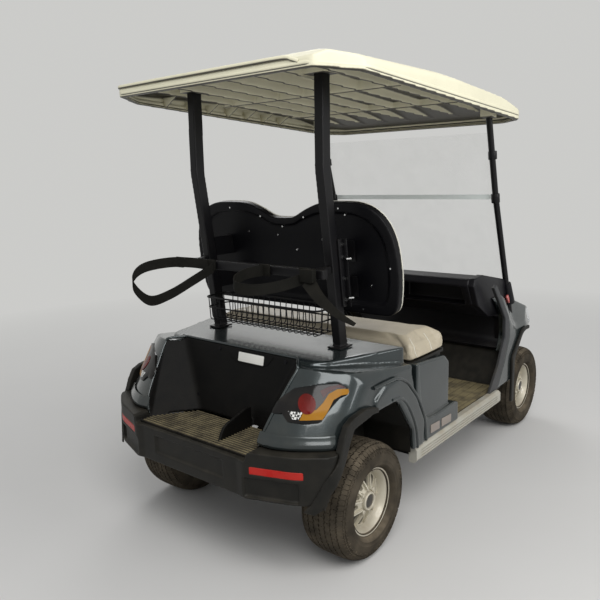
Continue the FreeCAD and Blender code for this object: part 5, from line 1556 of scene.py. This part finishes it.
@dataclass
class Seat:
    """The bench cushion, the twin-hump back and its shell.

    Attributes:
        foot: The lower edge of the back's rear face, x and z.
        lean: The back's lean in degrees.
        rise: The back's height along its slope.
        half: Half the back's width.
        shell: The depth of the back's shell.
        hump: Half the back's outline, as (across, up).
        foot_of_channel: The height at which the upright channels start.
    """

    foot: tuple[float, float] = (218, 900)
    lean: float = 7.5
    rise: float = 452
    half: float = 552
    shell: float = 38
    hump: tuple[Corner, ...] = (
        (0, 386), (62, 392), (130, 424), (205, 449), (300, 454), (392, 449), (458, 424), (508, 376),
        (537, 312), (549, 240), (552, 160), (545, 80), (533, 30), (506, 6), (466, 0))
    foot_of_channel: float = 948

    def on_back(self, y: float, up: float, depth: float = 0.0) -> Vector:
        """Find a point of the back.

        Args:
            y: Its place across the cart in millimetres.
            up: Its place up the back's slope.
            depth: How far forward of the back's rear face it lies.

        Returns:
            The point.
        """
        turn = math.radians(self.lean)
        return at(self.foot[0] - up * math.sin(turn) + depth * math.cos(turn), y,
                  self.foot[1] + up * math.cos(turn) + depth * math.sin(turn))

    def outline(self, inset: float) -> list[tuple[float, float]]:
        """Draw the twin-hump outline.

        Args:
            inset: How far it is set in, in millimetres.

        Returns:
            Its points as (across, up).
        """
        points = [Vector((-y, z)) for y, z in reversed(self.hump[1:])]
        points += [Vector(corner) for corner in self.hump]
        middle = self.rise / 2
        wide, tall = 1 - inset / self.half, 1 - inset / middle
        return [(point.x * wide, middle + (point.y - middle) * tall) for point in curved(points, 5)]

    def slab(self, name: str, inset: float, start: float, end: float) -> Piece:
        """Make a flat board of the back's outline.

        Args:
            name: The board's name.
            inset: How far its outline is set in, in millimetres.
            start: The depth of its rear face.
            end: The depth of its front face.

        Returns:
            The board.
        """
        item = ring(name, [self.on_back(y, z, start) for y, z in self.outline(inset)])
        return extruded(item, self.on_back(0, 0, end) - self.on_back(0, 0, start))

    def screws(self) -> None:
        """Make the screw heads on the back's rim and in its recess."""
        on_rim = [(y, 22) for y in (-380, -130, 130, 380)] + [(-300, 430), (-330, 405), (300, 428),
                                                              (120, 392),
                                                              (-120, 392), (0, 350), (-520, 200), (520, 200)]
        recessed = ((-200, 300), (40, 310), (-60, 250), (210, 320), (-420, 120), (420, 120))
        heads = []
        for places, foot, top in ((on_rim, 8, -1.5), (recessed, 11, 7)):
            heads += [bar("head", self.on_back(y, z, foot), self.on_back(y, z, top), 0.005, 12, 0.0035)
                      for y, z in places]
        dressed(joined("back_screws", heads), CHROME)

    def back(self) -> None:
        """Make the back's moulded shell, its cushion and the piping between them."""
        shell = carved(self.slab("back_shell_moulding", 0, 0, self.shell), self.slab("recess", 42, -20, 10))
        softened(shell, 0.004, 8, 36000)
        dressed(shell, SHELL, replaces=("seat_back_shell",), angle=60)
        pad = stuffed(self.slab("back_pad_sewn", 16, self.shell + 1, self.shell + 60), 0.014, 0.004, held=0.0)
        dressed(pad, VINYL, replaces=("seat_back_pad",), angle=180)
        line = [self.on_back(y, z, self.shell + 1) for y, z in self.outline(3)]
        dressed(wires("back_piping", [line], 0.0035, closed=True), PIPING)
        self.screws()

    def cushion(self) -> None:
        """Make the bench cushion with its side seams and the seam along its front."""
        item = block("cushion_sewn", at(292, -558, 702.5), at(600, 558, 783), 0.022, 4)
        cushion = stuffed(item, 0.022, 0.003)
        dressed(cushion, VINYL, "seat_lid", ("seat_cushion",), 180)
        for side, sign in SIDES:
            for i, x in enumerate((352, 478)):
                guides = [at(x - 8, sign * 585, z) for z in (722, 740, 760)]
                guides += [at(x, sign * 568, 790), at(x + 2, sign * 530, 805)]
                cord = seam(f"cushion_seam_{side}_{i}", cushion, guides, 0.0016)
                dressed(cord, PIPING, "seat_lid")
        front = seam("cushion_front_seam", cushion, [at(612, y, 712) for y in range(-540, 541, 90)], 0.0022)
        dressed(front, VINYL, "seat_lid")

    def hardware(self) -> None:
        """Make the upright channels with their bolts between the posts and the back."""
        low, high = self.foot_of_channel, 1216
        for side, sign in SIDES:
            web = plate(f"post_channel_{side}", "XZ",
                        ((98, low, 6), (128, low, 6), (98, high, 6), (66, high, 6)),
                        sign * 359, sign * 366, 0.001)
            flange = plate(f"flange_{side}", "XZ", ((124, low), (130, low), (100, high), (94, high)),
                           sign * 359,
                           sign * 384, 0.001)
            bolts = []
            for z in (975, 1060, 1145, 1195):
                x = 118 - (z - low) * 0.118
                bolts.append(bar("bolt", at(x, sign * 366, z), at(x, sign * 372, z), 0.007, 6))
            for z in (985, 1140):
                x = 112 - (z - low) * 0.10
                bolts.append(bar("bolt", at(x, sign * 384, z), at(x + 16, sign * 396, z), 0.0045, 12))
            dressed(joined(f"post_channel_{side}", [web, flange]), BLACK_PAINT)
            dressed(joined(f"channel_bolts_{side}", bolts), CHROME)

    def build(self) -> None:
        """Make and dress the seat."""
        self.back()
        self.cushion()
        self.hardware()


@dataclass
class Carriers:
    """The wire basket, the strap bar and the bag straps.

    Attributes:
        half: Half the basket's width.
        ends: The basket's rear and front x.
        low: The height of the basket's floor.
        high: The height of its rim.
        loops: The lines of the two strap loops, by name.
        clasps: The places of the straps' clasps on the bar, as x and two values of y.
        width: The width of the loops' webbing in metres.
        tail_width: The width of the tail at its buckle.
        thickness: The webbing's thickness.
    """

    half: float = 314
    ends: tuple[float, float] = (-5, 145)
    low: float = 838
    high: float = 941
    loops: tuple[tuple[str, tuple[Corner, ...]], ...] = (
        ("left", ((-82, 186, 1098), (-130, 236, 1112), (-190, 312, 1116), (-266, 380, 1100),
                  (-304, 410, 1064), (-306, 408, 1016), (-290, 333, 968), (-240, 264, 992), (-170, 196, 1046),
                  (-86, 160, 1092))),
        ("right", ((-80, -120, 1100), (-170, -106, 1096), (-240, -112, 1078), (-262, -146, 1060),
                   (-232, -206, 1052), (-160, -270, 1062), (-88, -322, 1084))))
    clasps: tuple[Corner, ...] = ((-82, 150, 196), (-82, 350, 396), (-82, -150, -96), (-84, -345, -300))
    width: float = 0.042
    tail_width: float = 0.056
    thickness: float = 0.003

    def hoop(self, inset: float, z: float) -> list[Vector]:
        """Draw a closed line round the basket.

        Args:
            inset: How far it is set in, in millimetres.
            z: Its height.

        Returns:
            The line's points.
        """
        rear, front, half = self.ends[0] + inset, self.ends[1] - inset, self.half - inset
        corners = ((rear, -half, 32), (front, -half, 32), (front, half, 32), (rear, half, 32))
        return [at(x, y, z) for x, y in rounded(corners, 6)]

    def basket(self) -> None:
        """Make the wire basket between the rear posts."""
        rim = wires("basket_rim", [self.hoop(0, self.high)], 0.004, closed=True, sides=3)
        band = wires("basket_band", [self.hoop(4, self.high - 45)], 0.003, closed=True, sides=3)
        (rear, front), half, low, high = self.ends, self.half, self.low, self.high
        across = rounded(((rear, high), (rear + 7, low, 14), (front - 7, low, 14), (front, high)), 4)
        along = rounded(((-half, high), (-half + 8, low + 3, 14), (half - 8, low + 3, 14), (half, high)), 4)
        paths = [[at(x, y, z) for x, z in across] for y in range(-288, 289, 32)]
        paths += [[at(x, y, z) for y, z in along] for x in (30, 70, 110)]
        bars = wires("basket_bars", paths, 0.0022, sides=1)
        dressed(joined("wire_basket", [rim, band, bars]), BLACK_PAINT, replaces=("basket",))

    def straps(self) -> None:
        """Make the two strap loops with their clasps on the bar."""
        pieces = []
        for name, corners in self.loops:
            path = curved([at(*corner) for corner in corners], 8)
            pieces.append(ribbon(f"strap_{name}", path, Vector((0.05, 0.0, 1)), self.width, self.thickness))
        for x, start, end in self.clasps:
            pieces.append(block("clasp", at(x - 8, start, 1078), at(x + 2, end, 1124), 0.003))
        dressed(joined("strap_loops", pieces), WEB, replaces=("bag_straps",), angle=60)

    def tail(self) -> None:
        """Make the toothed tail that hangs, tapering, from the right buckle."""
        path = curved([at(-98, -345, 1080), at(-112, -410, 1022), at(-120, -492, 974), at(-120, -566, 946)],
                      8)
        across = Vector((0.55, -0.46, 0.70))
        strap = ribbon("tail", path, across, self.tail_width, self.thickness, 0.25)
        rungs = []
        for k in range(2, len(path) - 2):
            step = path[k + 1] - path[k]
            out = across.normalized().cross(step).normalized() * 0.002
            width = 0.046 * (1 - 0.75 * k / len(path))
            rungs.append(ribbon("rung", [path[k] - step * 0.2 + out, path[k] + step * 0.2 + out],
                                across, width, 0.004))
        buckle = block("buckle", at(-112, -376, 1072), at(-84, -316, 1122), 0.004)
        dressed(joined("strap_tail", [strap, buckle, *rungs]), WEB)

    def build(self) -> None:
        """Make and dress the carriers."""
        self.basket()
        Moulding("strap_bar", "strap_bar_rounded", 0.003, 3, 8000, BLACK_PAINT, Slot.PLASTIC).build()
        self.straps()
        self.tail()


@dataclass
class Screen:
    """The two clear panes with their joint strip and clamps.

    Attributes:
        clamps: The ends of a side's clamps on the posts, as x and z below and above.
        aside: How far from the middle the clamps lie.
        radius: The clamps' radius in metres.
    """

    clamps: tuple[Corner, ...] = ((1185, 1512, 1179, 1552), (1240, 1300, 1231, 1345))
    aside: float = 500
    radius: float = 0.021

    def build(self) -> None:
        """Dress the windscreen."""
        for node, name, finish, slot in (
                ("windscreen_lower", "windscreen_lower_sheet", SCREEN, Slot.GLASS),
                ("windscreen_upper", "windscreen_upper_sheet", SCREEN, Slot.GLASS),
                ("screen_joint", "joint_strip_clear", MILKY, Slot.PLASTIC)):
            dressed(clone(node, name), finish, replaces=(node,))
        rings = []
        for _, sign in SIDES:
            for x0, z0, x1, z1 in self.clamps:
                rings.append(bar("clamp", at(x0, sign * self.aside, z0), at(x1, sign * self.aside, z1),
                                 self.radius, 32, bevel=0.003))
        dressed(joined("screen_clamps", rings), BLACK_PAINT)


@dataclass
class Running:
    """The underside, floor and controls, which keep their CAD shapes."""

    finishes: ClassVar[dict[str, Finish]] = {
        "chassis_frame": BLACK_PAINT, "rear_axle": STEEL, "drive_motor": STEEL, "leaf_springs": STEEL,
        "front_suspension": BLACK_PAINT, "knuckle_left": STEEL, "knuckle_right": STEEL, "tie_rod": STEEL,
        "steering_rack": STEEL, "battery_block": CASE, "steering_column": BLACK_PAINT, "steering_wheel": DASH,
        "pedals": BLACK_PAINT, "floor_pan": BUMPER, "floor_mat": MAT, "side_sills": STRIP,
        "wheel_housings": BUMPER, "seat_box": BUMPER, "seat_board": BUMPER, "seat_brackets": BLACK_PAINT,
        "front_posts": BLACK_PAINT,
    }

    def build(self) -> None:
        """Give every CAD node that shows its finish."""
        for node, finish in self.finishes.items():
            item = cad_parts[node]
            item.data.materials.clear()
            item.data.materials.append(finish.material())
            LOG.info("%s as in CAD", node)


@dataclass
class Studio:
    """The floor, lights and camera.

    Attributes:
        azimuth: The camera's direction round the cart in degrees.
        elevation: The camera's height angle in degrees.
        roll: The camera's roll in degrees.
        distance: The camera's distance from its target in metres.
        target: The place the camera looks at, in millimetres.
        focal: The focal length as a share of the picture's width.
        sensor: The width of the camera's sensor in millimetres.
        backdrop: The colour of the background and the far floor.
        fade: How far out, in metres, the floor starts and ends to turn into the background.
        sky: The colour of the light from all round.
        sky_power: Its strength.
        lamps: Each lamp's name, place, size and power.
        aim: The point that the lamps face.
    """

    azimuth: float = -50.745
    elevation: float = 10.836
    roll: float = -1.491
    distance: float = 3.43703
    target: tuple[float, float, float] = (713.4, 356.0, 802.7)
    focal: float = 639.16 / 600
    sensor: float = 36
    backdrop: tuple[float, float, float] = (0.60, 0.60, 0.585)
    fade: tuple[float, float] = (1.6, 5.5)
    sky: tuple[float, float, float] = (0.88, 0.90, 0.93)
    sky_power: float = 0.50
    lamps: tuple[tuple[str, Corner, float, float], ...] = (
        ("key", (-2.6, -2.6, 3.8), 2.6, 120), ("side", (0.4, -4.2, 2.2), 2.0, 60),
        ("back", (2.6, 2.8, 3.4), 2.4, 55))
    aim: tuple[float, float, float] = (0, 0, 0.7)

    def camera(self) -> None:
        """Place the camera."""
        a, e, r = (math.radians(angle) for angle in (self.azimuth, self.elevation, self.roll))
        back = Vector((math.sin(a) * math.cos(e), -math.cos(a) * math.cos(e), math.sin(e)))
        right = (-back).cross(Vector((0, 0, 1))).normalized()
        turn = Matrix((right, right.cross(-back), back)).transposed() @ Matrix.Rotation(r, 3, "Z")
        bpy.ops.object.camera_add()
        camera = bpy.context.object
        camera.data.sensor_width = self.sensor
        camera.data.lens = self.focal * self.sensor
        camera.matrix_world = Matrix.Translation(at(*self.target) + back * self.distance) @ turn.to_4x4()
        bpy.context.scene.camera = camera

    def lights(self) -> None:
        """Add the soft lamps."""
        for name, place, size, power in self.lamps:
            bpy.ops.object.light_add(type="AREA", location=place)
            lamp = bpy.context.object
            lamp.name = name
            lamp.data.size = size
            lamp.data.energy = power
            lamp.rotation_euler = (Vector(place) - Vector(self.aim)).to_track_quat("Z", "Y").to_euler()

    def floor(self) -> None:
        """Lay the pale floor, which turns into the background far out."""
        bpy.ops.mesh.primitive_plane_add(size=80)
        floor = named(bpy.context.object, "floor")
        graph = Graph("floor_paint")
        graph.shader.inputs["Roughness"].default_value = 0.9
        graph.link(graph.mixed(graph.noise(1.2), (0.60, 0.59, 0.57), (0.64, 0.63, 0.61)),
                   graph.shader.inputs["Base Color"])
        glow = graph.add("ShaderNodeEmission")
        glow.inputs["Color"].default_value = (*self.backdrop, 1)
        length = graph.add("ShaderNodeVectorMath", operation="LENGTH")
        graph.link(graph.place, length.inputs[0])
        mix = graph.add("ShaderNodeMixShader")
        graph.link(graph.spread(length.outputs["Value"], *self.fade), mix.inputs["Fac"])
        graph.link(graph.shader.outputs["BSDF"], mix.inputs[1])
        graph.link(glow.outputs["Emission"], mix.inputs[2])
        graph.link(mix.outputs["Shader"], graph.tree.nodes["Material Output"].inputs["Surface"])
        floor.data.materials.append(graph.material)

    def world(self) -> None:
        """Light the cart evenly from all round, before a background that shows in metal and glass too."""
        world = bpy.data.worlds.new("studio")
        world.use_nodes = True
        tree = world.node_tree
        soft = tree.nodes["Background"]
        soft.inputs["Color"].default_value = (*self.sky, 1)
        soft.inputs["Strength"].default_value = self.sky_power
        plain = tree.nodes.new("ShaderNodeBackground")
        plain.inputs["Color"].default_value = (*self.backdrop, 1)
        mix = tree.nodes.new("ShaderNodeMixShader")
        path = tree.nodes.new("ShaderNodeLightPath")
        seen = path.outputs["Is Camera Ray"]
        for ray in ("Is Glossy Ray", "Is Transmission Ray"):
            either = tree.nodes.new("ShaderNodeMath")
            either.operation = "MAXIMUM"
            tree.links.new(seen, either.inputs[0])
            tree.links.new(path.outputs[ray], either.inputs[1])
            seen = either.outputs["Value"]
        tree.links.new(seen, mix.inputs["Fac"])
        tree.links.new(soft.outputs["Background"], mix.inputs[1])
        tree.links.new(plain.outputs["Background"], mix.inputs[2])
        tree.links.new(mix.outputs["Shader"], tree.nodes["World Output"].inputs["Surface"])
        bpy.context.scene.world = world

    def build(self) -> None:
        """Set up the floor, the world, the lamps and the camera."""
        self.floor()
        self.world()
        self.lights()
        self.camera()
        bpy.context.scene.view_settings.view_transform = "Standard"


def main() -> None:
    """Build the cart's dressed pieces, then the studio."""
    logging.basicConfig(level=logging.INFO, format="%(message)s")
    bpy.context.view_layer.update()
    for part in (Running(), Wheels(), RearBody(), FrontBody(), Roof(), Seat(), Carriers(), Screen(),
                 Studio()):
        part.build()
        LOG.info("%s done", type(part).__name__)


if __name__ == "__main__":
    main()
